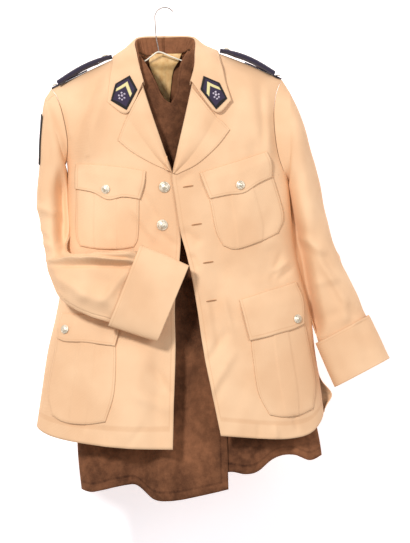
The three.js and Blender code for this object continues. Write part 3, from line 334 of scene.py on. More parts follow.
def back_point(u, v):
    hem_start = float(BACK_HEM(0.0)[1])
    hem_end = float(BACK_HEM(1.0)[1])
    left_x, left_drop = side_at(ARMHOLE_LEFT, body_left, hem_start, v)
    right_x, right_drop = side_at(ARMHOLE_RIGHT, body_right, hem_end, v)
    on_left = u < 0.5
    sign = np.where(on_left, -1, 1)
    even = np.abs(2 * u - 1)
    share = mix(even, even**2, 0.4)
    tip_x = np.where(on_left, ARMHOLE_LEFT(0.0)[0], ARMHOLE_RIGHT(0.0)[0])
    tip_drop = np.where(on_left, ARMHOLE_LEFT(0.0)[1], ARMHOLE_RIGHT(0.0)[1])
    seam_x = between(CENTRE, tip_x, sign, tip_drop, share)
    neck = np.maximum(0, 1 - (seam_x / BACK_NECK_HALF) ** 2)
    top = np.where(share > 0.999, tip_drop, shoulder_drop(seam_x) + BACK_NECK_DIP * neck)
    sink_left = (left_drop - float(ARMHOLE_LEFT(0.0)[1])) / (hem_start - float(ARMHOLE_LEFT(0.0)[1]))
    sink_right = (right_drop - float(ARMHOLE_RIGHT(0.0)[1])) / (hem_end - float(ARMHOLE_RIGHT(0.0)[1]))
    sink = mix((sink_left + sink_right) / 2, np.where(on_left, sink_left, sink_right), share)
    drop = mix(top, BACK_HEM(u)[1], sink)
    x = between(CENTRE, np.where(on_left, left_x, right_x), sign, drop, share)
    swing = np.where(on_left, 0.0, ease(share, 0.8, 1.0) * np.exp(-(((drop - VENT["drop"]) / VENT["half"]) ** 2)))
    return x + VENT["reach"] * swing, back_y(x, drop) + VENT["behind"] * swing, drop


back = cloth_mesh("back", back_point, 120, 120, (0, 1, 0))


class Shade:
    """A value in a material's node tree. It can be added to and multiplied like a number."""

    def __init__(self, tree, socket=None):
        self.tree = tree
        self.socket = socket

    def node(self, kind, inputs, output=0, **settings):
        made = self.tree.nodes.new("ShaderNode" + kind)
        for key, value in settings.items():
            setattr(made, key, value)
        for key, value in inputs.items():
            if isinstance(value, Shade):
                self.tree.links.new(value.socket, made.inputs[key])
            else:
                made.inputs[key].default_value = value
        return Shade(self.tree, made.outputs[output])

    def maths(self, operation, *values):
        return self.node("Math", dict(enumerate(values)), operation=operation)

    def colour(self, first, second):
        """A colour between two, by this value."""
        return self.node("Mix", {0: self, 6: first, 7: second}, 2, data_type="RGBA")

    def between(self, low, high, to_low=0.0, to_high=1.0):
        inputs = {"Value": self, "From Min": low, "From Max": high, "To Min": to_low, "To Max": to_high}
        return self.node("MapRange", inputs, interpolation_type="SMOOTHSTEP")

    def __add__(self, other):
        return self.maths("ADD", self, other)

    def __sub__(self, other):
        return self.maths("SUBTRACT", self, other)

    def __mul__(self, other):
        return self.maths("MULTIPLY", self, other)

    __radd__ = __add__
    __rmul__ = __mul__

    def size(self):
        return self.maths("ABSOLUTE", self)

    def sine(self):
        return self.maths("SINE", self)

    def noise(self, where, scale, detail, **more):
        return self.node("TexNoise", {"Vector": where, "Scale": scale, "Detail": detail, **more})

    def bump(self, height, strength, distance):
        return self.node("Bump", {"Strength": strength, "Distance": distance, "Height": height})

    def cut_axes(self):
        """The two axes of a piece's own cut, each from 0 to 1."""
        flat = self.node("SeparateXYZ", {0: self.node("UVMap", {}, uv_map="cut")})
        return [Shade(self.tree, flat.socket.node.outputs[k]) for k in (0, 1)]


def new_finish(name):
    """A bare material: its node tree as a Shade, its shader node and its object coordinates."""
    finish = bpy.data.materials.new(name)
    finish.use_nodes = True
    tree = finish.node_tree
    shader = next(n for n in tree.nodes if n.type == "BSDF_PRINCIPLED")
    shade = Shade(tree)
    where = shade.node("TexCoord", {}, "Object")
    return finish, shade, shader, where


def feed(shade, shader, **values):
    for key, value in values.items():
        entry = shader.inputs[key.replace("_", " ")]
        if isinstance(value, Shade):
            shade.tree.links.new(value.socket, entry)
        else:
            entry.default_value = value


def srgb(red, green, blue):
    """A colour given in 0-255 display values, as the linear one that Blender takes."""
    parts = [c / 255 for c in (red, green, blue)]
    return [c / 12.92 if c <= 0.04045 else ((c + 0.055) / 1.055) ** 2.4 for c in parts] + [1.0]


def give(piece, finish):
    piece.data.materials.clear()
    piece.data.materials.append(finish)


def twill_finish(name, light, deep, rib=1150.0, cut=None, inset=5.0, edges="udlr", dash=1.0):
    """Wool twill: fine slanted ribs, a little unevenness from pressing and wear, a soft sheen.
    A cut, its width and height in millimetres, is topstitched an inset from the edges named:
    up, down, left and right. dash makes the stitches finer down a cut whose height is given short."""
    finish, shade, shader, where = new_finish(name)
    parts = shade.node("SeparateXYZ", {0: where})
    x, y, z = (Shade(shade.tree, parts.socket.node.outputs[k]) for k in range(3))
    slant = x * rib + y * rib + z * (rib * 1.9)
    ribs = slant.sine()
    cross = (x * (rib * 1.7) + y * (rib * 1.7) + z * (-rib)).sine()
    worn = shade.noise(where, 9.0, 3.0)
    fuzz = shade.noise(where, 900.0, 2.0)
    tone = worn.between(0.3, 0.72) * 0.55 + ribs * 0.06 + fuzz * 0.25
    height = ribs * 0.6 + cross * 0.3 + fuzz * 0.6
    if cut:
        u, v = shade.cut_axes()
        to_edge = {"l": u * cut[0], "r": u * -cut[0] + cut[0], "u": v * cut[1], "d": v * -cut[1] + cut[1]}
        nearest = to_edge[edges[0]]
        for edge in edges[1:]:
            nearest = nearest.maths("MINIMUM", nearest, to_edge[edge])
        off = nearest - inset
        row = off.size().between(0.4, 1.2, 1.0, 0.0)
        length = u * (cut[0] * 2.1) + v * (cut[1] * 2.1 * dash)
        stitch = length.sine().between(-0.7, -0.1)
        sunk = row * (stitch * 0.6 + 0.4)
        tone = tone - sunk * 0.42
        height = height - sunk * 2.2
    feed(shade, shader, Base_Color=tone.colour(deep, light))
    weave = shade.bump(height, 0.3, 0.0003)
    feed(shade, shader, Normal=weave, Roughness=0.82, Sheen_Weight=0.25, Sheen_Roughness=0.45)
    feed(shade, shader, Sheen_Tint=light, Specular_IOR_Level=0.25)
    return finish


BEIGE = (srgb(246, 210, 171), srgb(225, 182, 142))
tunic_cloth = twill_finish("tunic_cloth", *BEIGE)
front_cloth = twill_finish("front_cloth", *BEIGE, cut=(275, 173), inset=6.0, edges="ld", dash=4.2)
for panel in (front_left, front_right):
    give(panel, front_cloth)
give(back, tunic_cloth)

# ---------------------------------------------------------------- collar and lapels
# A turned-down collar on a stand, sewn into the neck, and the fronts' facings turned back as lapels.
# Stations run from the centre back round to the gorge; each part is x, y and drop.
COLLAR_LEFT = {
    "stand": [(0, 28, 99.6), (-38, 20, 92.5), (-55, 4, 88), (-55, -27, 106), (-46.5, -43, 127), (-38, -55.5, 152)],
    "roll": [(0, 35, 54), (-46, 25, 56), (-58, 3, 66), (-54, -30, 90), (-49, -52, 118), (-42, -66, 148)],
    "mid": [(0, 40.5, 88), (-52, 34, 86), (-78, 7, 80), (-80, -31, 99), (-79, -58, 138), (-71, -70, 206)],
    "fall": [(0, 42, 118), (-62, 38, 112), (-96, 9, 92.5), (-101, -37, 118), (-106, -54, 152), (-110, -63, 184)],
}
COLLAR_RIGHT = {
    "stand": [(0, 28, 99.6), (36, 17.5, 87.5), (52, 2, 81.5), (53.5, -27, 102), (54.5, -43, 128), (47.5, -55.5, 152)],
    "roll": [(0, 35, 54), (48, 25, 55), (60, 3, 64), (59.5, -33, 90), (58, -54, 118), (53, -68, 147)],
    "mid": [(0, 40.5, 88), (54, 34, 84), (79, 7, 74), (85, -39, 95), (90, -60, 137), (98, -74, 204)],
    "fall": [(0, 42, 118), (66, 38, 108), (98, 9, 82), (108, -45, 111), (117, -56, 148), (127, -66, 181)],
}
COLLAR_SECTION = (0.0, 0.3, 0.66, 1.0)


def station_curves(side):
    stations = range(len(side["stand"]))
    return [[smooth(stations, [row[axis] for row in rows]) for axis in range(3)] for rows in side.values()]


collar_sides = [station_curves(COLLAR_LEFT), station_curves(COLLAR_RIGHT)]


def collar_point(u, v):
    """Across u runs the whole collar, gorge to gorge; down v goes from its stand over the roll to the fall's edge."""
    u = np.atleast_1d(np.asarray(u, float))
    v = np.atleast_1d(np.asarray(v, float))
    found = np.empty((3, len(u)))
    for n, (a, b) in enumerate(zip(u, v)):
        side = collar_sides[0 if a < 0.5 else 1]
        station = abs(2 * a - 1) * 5
        for axis in range(3):
            found[axis, n] = smooth(COLLAR_SECTION, [curves[axis](station) for curves in side])(b)
    return found


collar = cloth_mesh("collar_leaf", collar_point, 120, 36, (0, 0, 1))
give(collar, tunic_cloth)


def front_normal(x, drop):
    reach = 8.0
    slope_x = (front_y(x + reach, drop, False) - front_y(x - reach, drop, False)) / (2 * reach)
    slope_z = (front_y(x, drop - reach, False) - front_y(x, drop + reach, False)) / (2 * reach)
    size = np.sqrt(1 + slope_x**2 + slope_z**2)
    return slope_x / size, -1 / size, slope_z / size


def on_front(x, drop, lift):
    """A point out from a front's face, over the place x, drop."""
    y = front_y(x, drop) + np.where(x > CENTRE, lap_lift(x, drop), 0.0)
    nx, ny, nz = front_normal(x, drop)
    return x + nx * lift, y + ny * lift, drop - nz * lift


def patch(edges, lift):
    """A piece of cloth laid on a front: its top, bottom, inner and outer edge as lines, and its lift."""
    top, bottom, inner, outer = (line(points) for points in edges)
    corners = [[float(c) for c in edge(end)] for edge in (top, bottom) for end in (0.0, 1.0)]

    def at(u, v):
        place = []
        for k in (0, 1):
            sides = mix(inner(v)[k], outer(v)[k], u)
            ends = mix(top(u)[k], bottom(u)[k], v)
            plain = mix(mix(corners[0][k], corners[1][k], u), mix(corners[2][k], corners[3][k], u), v)
            place.append(ends + sides - plain)
        x, drop = place
        return on_front(x, drop, lift(u, v, x, drop))

    return at


PANEL_GAP = 0.9
LAPEL_ROLL = 5.0


def lapel_lift(u, v, x, drop):
    return PANEL_GAP + CLOTH + LAPEL_ROLL * np.sin(np.pi * np.minimum(u / 0.5, 1)) * (1 - 0.6 * ease(v, 0.9, 1.0))


LAPEL_LEFT = [
    [(-40.5, 156), (-56, 186), (-71, 214), (-80, 236), (-88, 258)],
    [(14.5, 318.5), (13, 317.6), (11.3, 316.7), (9.6, 315.8), (8, 315)],
    [(-40.5, 156), (-23, 209), (0, 276), (14.5, 318.5)],
    [(-88, 258), (-62, 279), (-26, 300), (8, 315)],
]
LAPEL_RIGHT = [
    [(51, 155.5), (74, 184), (98, 212), (111, 223), (124, 237)],
    [(15.5, 320), (17, 320.5), (19, 321), (21, 321.5), (23, 322)],
    [(51, 155.5), (38, 215), (25, 272), (15.5, 320)],
    [(124, 237), (100, 268), (62, 302), (23, 322)],
]
lapel_left = cloth_mesh("lapel_facing_left", patch(LAPEL_LEFT, lapel_lift), 40, 60, (0, -1, 0))
lapel_right = cloth_mesh("lapel_facing_right", patch(LAPEL_RIGHT, lapel_lift), 40, 60, (0, -1, 0))
lapel_cloth = twill_finish("lapel_cloth", *BEIGE, cut=(110, 165), inset=5.0, edges="ur")
for lapel in (lapel_left, lapel_right):
    give(lapel, lapel_cloth)

# ---------------------------------------------------------------- sleeves and cuffs
# Two-piece sleeves set into the armholes, each with a deep turned-back cuff sewn round its end.
# Rings of the outer and inner edge (x and drop), the middle's y and the depth to each side of it.
SLEEVE_LEFT = np.array([
    (-229, 176, -189.5, 303, -1, 38), (-235, 216, -186, 314, -2, 43), (-238, 268, -184, 332, -3, 44),
    (-240, 326, -182.5, 354, -5, 44), (-242, 382, -182, 392, -10, 42), (-234, 436, -182, 432, -20, 40),
    (-225, 486, -187, 458, -42, 36), (-213, 526, -179, 470, -66, 29), (-198, 556, -162, 473, -86, 23),
    (-170, 577, -138, 472, -99, 18), (-139, 592, -112, 469, -106, 15), (-106, 602, -78, 466, -109, 15),
    (-62, 615, -10, 476, -109, 17.6), (-18, 633, 39, 500, -109, 18.1),
], float)
SLEEVE_RIGHT = np.array([
    (240, 164, 239.5, 342, 0, 40), (256, 200, 236, 352, 0, 44), (270, 242, 237, 368, 0, 45),
    (283, 290, 239, 394, 0, 45), (297, 340, 241, 426, -1, 44), (308, 394, 244.5, 456, -2, 43),
    (321, 450, 250.5, 488, -4, 42), (343, 500, 260, 526, -6, 40), (366, 548, 273, 576, -9, 37),
    (385, 592, 293, 640, -12, 34.2), (404, 630, 307, 680, -13, 34.8), (423, 668, 325, 720, -14, 35),
], float)
CUFF_LEFT = np.array([
    (-106, 609, -45, 455, -109, 20.2), (-61, 624, 2, 474, -109, 20.3), (-13, 639, 47, 495, -109, 20.4),
], float)
CUFF_RIGHT = np.array([
    (390, 589, 288, 644, -12.5, 37), (410, 630, 306, 686, -13.3, 37.2), (430, 671, 324, 727, -14, 37.3),
], float)


def tube(rings, squareness, start=None):
    parts = [smooth(np.arange(len(rings)), rings[:, k]) for k in range(6)]
    first = -1.0 if start else 0.0

    def rounded(value):
        return np.sign(value) * np.abs(value) ** (2 / squareness)

    def at(u, v):
        k = mix(first, len(rings) - 1.0, v)
        out_x, out_drop, in_x, in_drop, middle, depth = (part(np.maximum(k, 0)) for part in parts)
        share = (1 - rounded(np.cos(2 * np.pi * u))) / 2
        y = middle - depth * rounded(np.sin(2 * np.pi * u))
        place = [mix(out_x, in_x, share), y, mix(out_drop, in_drop, share)]
        if start:
            begin = start(u)
            place = [np.where(k < 0, mix(b, p, np.clip(1 + k, 0, 1)), p) for b, p in zip(begin, place)]
        return place

    return at


def armhole_start(armhole, sign):
    def at(u):
        x, drop = armhole(np.where(u < 0.5, 2 * u, 2 - 2 * u))
        y = np.where(u < 0.5, front_y(x, drop, False), back_y(x, drop))
        return x + sign * 2.5 * SEAM, y, drop

    return at


def creased(point_at, sign, front_creases, back_creases, hollows=(), plain_from=2.0, loose=1.0):
    """A tube with creases on its front and its back half, given by x and drop as on the fronts.
    hollows sink the front straight back; past plain_from, along the tube, it is left plain."""

    def at(u, v):
        tiny = 1e-3
        here = np.array(np.broadcast_arrays(*point_at(u, v)))
        along_u = np.array(point_at(u + tiny, v)) - np.array(point_at(u - tiny, v))
        along_v = np.array(point_at(u, np.minimum(v + tiny, 1))) - np.array(point_at(u, np.maximum(v - tiny, 0)))
        normal = sign * np.cross(along_u, along_v, axis=0)
        normal /= np.maximum(np.linalg.norm(normal, axis=0), 1e-9)
        turn = np.sin(2 * np.pi * u)
        lift = fold_lift(front_creases, here[0], here[2]) * ease(turn, -0.1, 0.35)
        lift = lift + fold_lift(back_creases, here[0], here[2]) * ease(-turn, -0.1, 0.35)
        lift = lift + loose * slack(here[0], here[2])
        shown = ease(v, 0.0, 0.06) * (1 - ease(v, plain_from, plain_from + 0.03))
        sunk = here + normal * lift * shown
        sunk[1] = sunk[1] + fold_lift(hollows, here[0], here[2]) * ease(turn, 0.0, 0.3) * shown
        return sunk

    return at


LEFT_SLEEVE_FRONT = [
    (-204, 486, -66, 488, 3.0, -17), (-138, 481, -58, 478, 7, -24), (-214, 473, -58, 467, 6, 4.0),
    (-210, 494, -64, 496, 3.5, 4.5),
    (-200, 512, -152, 550, 13, -7), (-158, 550, -106, 563, 12, -6.5), (-114, 561, -72, 508, 10, -6),
    (-226, 498, -196, 546, 8, 3.5),
    (-206, 505, -160, 528, 8, 3.0), (-150, 512, -70, 540, 14, 2.6), (-140, 580, -84, 598, 9, 2.4),
    (-100, 500, -96, 596, 9, -2.0), (-240, 384, -204, 396, 8, -4), (-238, 402, -210, 410, 9, 2.0),
    (-232, 230, -236, 372, 7, -2.6), (-222, 250, -214, 372, 7, 2.4), (-240, 420, -206, 446, 7, -3.0),
    (-232, 452, -200, 462, 7, -3.4), (-228, 186, -200, 262, 10, -2.2),
]
LEFT_SLEEVE_HOLLOWS = [(-197, 330, -195, 456, 11, 36)]
LEFT_SLEEVE_BACK = [
    (-230, 230, -222, 380, 9, -3), (-236, 384, -206, 402, 9, -4), (-232, 440, -198, 452, 8, -4),
    (-218, 500, -150, 520, 10, -4), (-170, 560, -80, 570, 12, 3), (-210, 520, -186, 476, 8, 3),
    (-120, 490, -60, 500, 12, -3),
]
RIGHT_SLEEVE_FRONT = [
    (288, 470, 342, 566, 9, -7), (342, 560, 364, 716, 10, -6), (310, 520, 352, 590, 11, 4.5),
    (262, 300, 280, 420, 12, -3), (278, 290, 300, 400, 11, 2.6), (262, 440, 300, 470, 8, -6),
    (268, 460, 316, 500, 10, 3.0), (284, 530, 330, 520, 9, -2.6), (292, 600, 330, 585, 9, 2.2),
    (370, 600, 404, 684, 9, 2.4), (300, 660, 330, 640, 8, -2.0), (250, 210, 262, 300, 10, -2.2),
]
RIGHT_SLEEVE_HOLLOWS = [(237, 350, 288, 606, 12, 38)]
RIGHT_SLEEVE_BACK = [
    (270, 300, 300, 430, 13, -3.5), (286, 470, 340, 480, 10, -4), (290, 510, 356, 540, 11, 3),
    (310, 560, 372, 600, 12, -3.5), (264, 430, 306, 440, 10, 3), (320, 640, 380, 650, 12, -2.5),
]
CREASE_TURN = 0.385  # where round the folded sleeve its long sharp crease runs
GATHER = 0.7


def gathered(point_at):
    """The same tube with more of its lengthways threads at the sharp crease."""
    def at(u, v):
        return point_at((u - GATHER / (2 * np.pi) * np.sin(2 * np.pi * (u - CREASE_TURN))) % 1.0, v)

    return at


left_start = armhole_start(ARMHOLE_LEFT, -1)
right_start = armhole_start(ARMHOLE_RIGHT, 1)
sleeve_left_plain = tube(SLEEVE_LEFT, 2.3, left_start)
sleeve_right_plain = tube(SLEEVE_RIGHT, 2.3, right_start)
sleeve_left_at = creased(
    sleeve_left_plain, -1, LEFT_SLEEVE_FRONT, LEFT_SLEEVE_BACK, LEFT_SLEEVE_HOLLOWS, plain_from=0.872)
sleeve_right_at = creased(
    sleeve_right_plain, 1, RIGHT_SLEEVE_FRONT, RIGHT_SLEEVE_BACK, RIGHT_SLEEVE_HOLLOWS, plain_from=0.8)
sleeve_left = cloth_mesh("sleeve_cloth_left", gathered(sleeve_left_at), 110, 200, None, closed=True)
sleeve_right = cloth_mesh("sleeve_cloth_right", sleeve_right_at, 96, 190, None, closed=True)
LEFT_CUFF_CREASES = [(-72, 500, -86, 580, 14, -1.6), (-30, 540, -20, 620, 12, 1.6), (0, 505, 10, 560, 10, -1.2)]
RIGHT_CUFF_CREASES = [(352, 604, 374, 704, 9, -1.8), (372, 600, 396, 690, 12, 1.8), (320, 640, 336, 700, 9, 1.4)]
cuff_left_at = creased(tube(CUFF_LEFT, 2.8), -1, LEFT_CUFF_CREASES, LEFT_CUFF_CREASES, loose=0.3)
cuff_right_at = creased(tube(CUFF_RIGHT, 2.8), 1, RIGHT_CUFF_CREASES, RIGHT_CUFF_CREASES, loose=0.3)
cuff_left = cloth_mesh("cuff_cloth_left", cuff_left_at, 120, 48, None, closed=True)
cuff_right = cloth_mesh("cuff_cloth_right", cuff_right_at, 120, 48, None, closed=True)
cuff_cloth = twill_finish("cuff_cloth", *BEIGE, cut=(330, 96), inset=5.0, edges="u")
for piece in (sleeve_left, sleeve_right):
    give(piece, tunic_cloth)
for piece in (cuff_left, cuff_right):
    give(piece, cuff_cloth)

# ---------------------------------------------------------------- pockets and flaps
# Four patch pockets with a box pleat, each under a pointed or straight flap that is lined and topstitched.
POCKET_LIFT = PANEL_GAP + CLOTH
PLEAT = 1.2
FLAP_LIFT = POCKET_LIFT + PLEAT + CLOTH + 0.6
POCKETS = {
    "chest_bag_left": ([
        [(-166, 328), (-130, 330), (-90, 333), (-49, 338)],
        [(-160, 458), (-130, 463), (-85, 464), (-58, 460)],
        [(-166, 328), (-168, 380), (-168, 435), (-160, 458)],
        [(-49, 338), (-48, 380), (-50, 440), (-58, 460)],
    ], (0.33, 0.62)),
    "chest_bag_right": ([
        [(80, 348), (120, 340), (160, 328), (200, 312)],
        [(112, 458), (137, 464), (185, 448), (216, 433)],
        [(80, 348), (88, 380), (98, 430), (112, 458)],
        [(200, 312), (212, 345), (226, 400), (216, 433)],
    ], (0.36, 0.66)),
    "hip_bag_left": ([
        [(-202, 618), (-165, 620), (-130, 624), (-93, 628)],
        [(-214, 780), (-190, 793), (-150, 797), (-112, 792)],
        [(-202, 618), (-211, 670), (-222, 735), (-214, 780)],
        [(-93, 628), (-92, 680), (-96, 740), (-112, 792)],
    ], (0.42, 0.66)),
    "hip_bag_right": ([
        [(162, 612), (196, 606), (231, 598), (264, 588)],
        [(200, 779), (225, 783), (255, 780), (282, 768)],
        [(162, 612), (168, 670), (178, 735), (200, 779)],
        [(264, 588), (274, 640), (287, 715), (282, 768)],
    ], (0.42, 0.66)),
}


def edge_share(u, v):
    """0 on a laid piece's edge, rising to 1 a little way in, so that its edge is turned down and soft."""
    return np.minimum.reduce([ease(u, 0, 0.05), ease(1 - u, 0, 0.05), ease(v, 0, 0.05), ease(1 - v, 0, 0.05)])


def bag_lift(pleat):
    def at(u, v, x, drop):
        raised = ease(u, pleat[0] - 0.02, pleat[0]) * (1 - ease(u, pleat[1], pleat[1] + 0.02))
        return POCKET_LIFT + PLEAT * raised - 0.7 * (1 - edge_share(u, v))

    return at


FLAPS = {
    "chest_cover_left": ([
        [(-168, 302), (-135, 303), (-101, 306), (-68, 310), (-35, 316)],
        [(-168, 349), (-135, 356), (-107, 370), (-78, 365), (-46, 369)],
        [(-168, 302), (-168, 325), (-168, 349)],
        [(-35, 316), (-38, 342), (-46, 369)],
    ], (-110, 350)),
    "chest_cover_right": ([
        [(67, 320), (100, 309), (132, 299), (163, 289), (194, 278)],
        [(86, 368), (120, 361), (150, 357), (176, 340), (202, 327)],
        [(67, 320), (76, 344), (86, 368)],
        [(194, 278), (202, 300), (202, 327)],
    ], (143, 342)),
    "hip_cover_left": ([
        [(-196, 586), (-168, 588), (-140, 590), (-112, 593), (-84, 597)],
        [(-202, 634), (-186, 640), (-150, 641), (-120, 645), (-93, 648)],
        [(-196, 586), (-200, 610), (-202, 634)],
        [(-84, 597), (-86, 620), (-93, 648)],
    ], (-186, 617)),
    "hip_cover_right": ([
        [(142, 560), (170, 552), (197, 543), (224, 535), (250, 526)],
        [(162, 638), (190, 632), (218, 624), (243, 617), (264, 607)],
        [(142, 560), (152, 599), (162, 638)],
        [(250, 526), (262, 564), (264, 607)],
    ], (250, 597)),
}


def flap_lift(u, v, x, drop):
    return mix(POCKET_LIFT + 0.6, FLAP_LIFT, ease(v, 0, 0.4)) - 0.6 * (1 - edge_share(u, v))


bags = {name: cloth_mesh(name, patch(edges, bag_lift(pleat)), 64, 48, (0, -1, 0))
        for name, (edges, pleat) in POCKETS.items()}
covers = {name: cloth_mesh(name, patch(edges, flap_lift), 64, 30, (0, -1, 0))
          for name, (edges, _) in FLAPS.items()}
flap_cloth = twill_finish("flap_cloth", *BEIGE, cut=(132, 62), inset=5.0, edges="dlr")
for piece in covers.values():
    give(piece, flap_cloth)
for name, piece in bags.items():
    height = 132 if "chest" in name else 178
    give(piece, twill_finish(name + "_cloth", *BEIGE, cut=(122, height), inset=4.0, edges="dlr"))

# ---------------------------------------------------------------- buttonholes
# Four buttonholes worked in thread down the right front's edge, each a slit between two bound lips; the slit is not
# cut but painted dark as the shade inside it.
hole_thread_and_slit_shade, shade, shader, where = new_finish("hole_thread_and_slit_shade")
lip = shade.cut_axes()[1] - 0.5
# painted shade: the buttonhole's middle is coloured dark brown for the shadow in its slit, and the lighter lips are
# the thread
painted_slit_shade = lip.size().between(0.1, 0.2)
feed(shade, shader, Base_Color=painted_slit_shade.colour(srgb(92, 52, 34), srgb(206, 156, 112)), Roughness=0.85)
HOLE_LENGTH = 20.0
HOLE_HALF = 1.6
HOLE_SLANT = 3.0
HOLE_LIFT = 0.9
HOLES = [(45, 345), (61, 417), (83, 489), (89, 562)]


def hole_at(middle, drop):
    def at(u, v):
        x = middle + (u - 0.5) * HOLE_LENGTH
        width = HOLE_HALF * np.sqrt(np.clip(1 - (2 * u - 1) ** 4, 0.02, 1))
        below = drop - (u - 0.5) * HOLE_SLANT + (2 * v - 1) * width
        return on_front(x, below, HOLE_LIFT)

    return at


holes = [cloth_mesh(f"buttonhole_{k}", hole_at(*place), 24, 6, (0, -1, 0), shell=0.5)
         for k, place in enumerate(HOLES, 1)]
for piece in holes:
    give(piece, hole_thread_and_slit_shade)

# ---------------------------------------------------------------- buttons
# Domed white-metal buttons with a raised rim, sewn on by a shank; their faces are left plain.
button_metal, shade, shader, where = new_finish("button_metal")
worn = shade.noise(where, 260.0, 4.0)
feed(shade, shader, Base_Color=worn.between(0.35, 0.65).colour(srgb(206, 194, 170), srgb(248, 240, 222)))
feed(shade, shader, Metallic=0.6, Roughness=worn.between(0.3, 0.7, 0.32, 0.5))
BUTTON_GAP = 0.5


def lathe(name, profile, radius, place, normal, finish, turns=48):
    """A turned piece from [radius, height] shares, standing on a place along a normal."""
    bm = bmesh.new()
    verts = [bm.verts.new((r * radius, 0.0, h * radius)) for r, h in profile]
    edges = [bm.edges.new(pair) for pair in zip(verts, verts[1:])]
    bmesh.ops.spin(bm, geom=verts + edges, axis=(0, 0, 1), cent=(0, 0, 0), steps=turns, angle=2 * math.pi)
    bmesh.ops.remove_doubles(bm, verts=bm.verts, dist=1e-7)
    bmesh.ops.recalc_face_normals(bm, faces=bm.faces)
    turn = Vector(normal).to_track_quat("Z", "Y").to_matrix()
    for vert in bm.verts:
        vert.co = turn @ vert.co + Vector(place)
    piece = into_scene(bm, name)
    give(piece, finish)
    return piece


BUTTON_PROFILE = [
    (0, 0), (0.9, 0), (0.98, 0.05), (1, 0.13), (0.97, 0.2), (0.91, 0.22), (0.87, 0.2), (0.84, 0.22),
    (0.74, 0.36), (0.58, 0.47), (0.38, 0.55), (0.18, 0.59), (0, 0.6),
]
RIBBED_BUTTON = [
    (0, 0), (0.9, 0), (0.98, 0.05), (1, 0.13), (0.97, 0.2), (0.91, 0.22), (0.86, 0.19), (0.8, 0.25),
    (0.7, 0.38), (0.62, 0.42), (0.56, 0.4), (0.52, 0.43), (0.3, 0.54), (0, 0.58),
]


def seat(x, drop, lift):
    normal = Vector(float(c) for c in front_normal(x, drop))
    y = float(front_y(x, drop, False)) + (float(lap_lift(x, drop)) if x > CENTRE else 0.0)
    return Vector((x, y, -drop)) * MM + normal * (lift * MM), normal


FRONT_BUTTON = 10.5 * MM
POCKET_BUTTON = 8.5 * MM
BOARD_BUTTON = 6.0 * MM
FRONT_BUTTONS = [(0, 346), (-4, 418), (-7, 490), (-9, 562)]
buttons = {}
for k, (x, drop) in enumerate(FRONT_BUTTONS, 1):
    place, normal = seat(x, drop, BUTTON_GAP)
    node = f"front_button_{k}"
    buttons[node] = lathe(node + "_domed", RIBBED_BUTTON, FRONT_BUTTON, place, normal, button_metal)
for name, (edges, (x, drop)) in FLAPS.items():
    place, normal = seat(x, drop, FLAP_LIFT + 0.3 + BUTTON_GAP)
    node = name.replace("cover", "button")
    buttons[node] = lathe(node + "_domed", RIBBED_BUTTON, POCKET_BUTTON, place, normal, button_metal)

# ---------------------------------------------------------------- shoulder boards
# Stiffened boards covered in dark cloth and piped round, buttoned at the neck end; a cloth loop
# sewn to the shoulder runs under each and ends in a small knot past its outer end.
board_cloth, shade, shader, where = new_finish("board_cloth")
fuzz = shade.noise(where, 700.0, 3.0)
feed(shade, shader, Base_Color=fuzz.colour(srgb(30, 26, 42), srgb(56, 48, 72)), Roughness=0.9, Sheen_Weight=0.3)
feed(shade, shader, Normal=shade.bump(fuzz, 0.4, 0.0004))
LOOP_HALF = 9.0
LOOP_THICK = 2.0
LOOP_LIFT = 0.6
LOOP_INNER = 0.45
BOARD_HALF = 24.0
BOARD_THICK = 4.0
BOARD_BOW = 6.0
BOARD_LIFT = LOOP_LIFT + LOOP_THICK + 0.6


def loop_point(inner_x, outer_x, loop_x):
    def at(u, v):
        x = mix(mix(inner_x, outer_x, LOOP_INNER), loop_x, u)
        half = LOOP_HALF * (1 - 0.3 * ease(u, 0.86, 1.0))
        return x, mix(-half, half, v), shoulder_drop(x) - LOOP_LIFT - LOOP_THICK

    return at


def board_point(inner_x, outer_x):
    def at(u, v):
        x = mix(inner_x, outer_x, u)
        half = BOARD_HALF * np.minimum(1, 0.35 + 2.6 * u)
        rounded = 1 - 0.5 * ease(np.abs(2 * v - 1), 0.8, 1.0)
        above = BOARD_LIFT + (BOARD_THICK + 3.0) * rounded + BOARD_BOW * np.sin(np.pi * u)
        return x, mix(-half, half, v), shoulder_drop(x) - above

    return at


boards = {}
knobs = []
for side, inner_x, outer_x, loop_x in (("left", -102, -206, -217), ("right", 106, 211, 224)):
    loop = cloth_mesh("loop_" + side, loop_point(inner_x, outer_x, loop_x), 40, 10, (0, 0, 1), shell=LOOP_THICK)
    give(loop, board_cloth)
    boards["shoulder_loop_" + side] = loop
    at = board_point(inner_x, outer_x)
    board = cloth_mesh("board_" + side, at, 60, 24, (0, 0, 1), shell=BOARD_THICK + 4.0)
    give(board, board_cloth)
    boards["shoulder_board_" + side] = board
    place = Vector(float(c) for c in at(0.12, 0.5))
    ahead = Vector(float(c) for c in at(0.17, 0.5))
    slope = Vector((ahead.x - place.x, 0, place.z - ahead.z))
    normal = Vector((0, 1, 0)).cross(slope).normalized()
    normal = normal if normal.z > 0 else -normal
    place = Vector((place.x, 0, -place.z)) * MM + normal * (BUTTON_GAP * MM)
    knob_x = mix(outer_x, loop_x, 0.45)
    knob_place = Vector((knob_x, 0, LOOP_LIFT + LOOP_THICK + 1.6 - float(shoulder_drop(knob_x)))) * MM
    knobs.append(lathe("loop_knob_" + side, BUTTON_PROFILE, 5.2 * MM, knob_place, normal, button_metal, 32))
    node = "board_button_" + side
    buttons[node] = lathe(node + "_domed", BUTTON_PROFILE, BOARD_BUTTON, place, normal, button_metal)

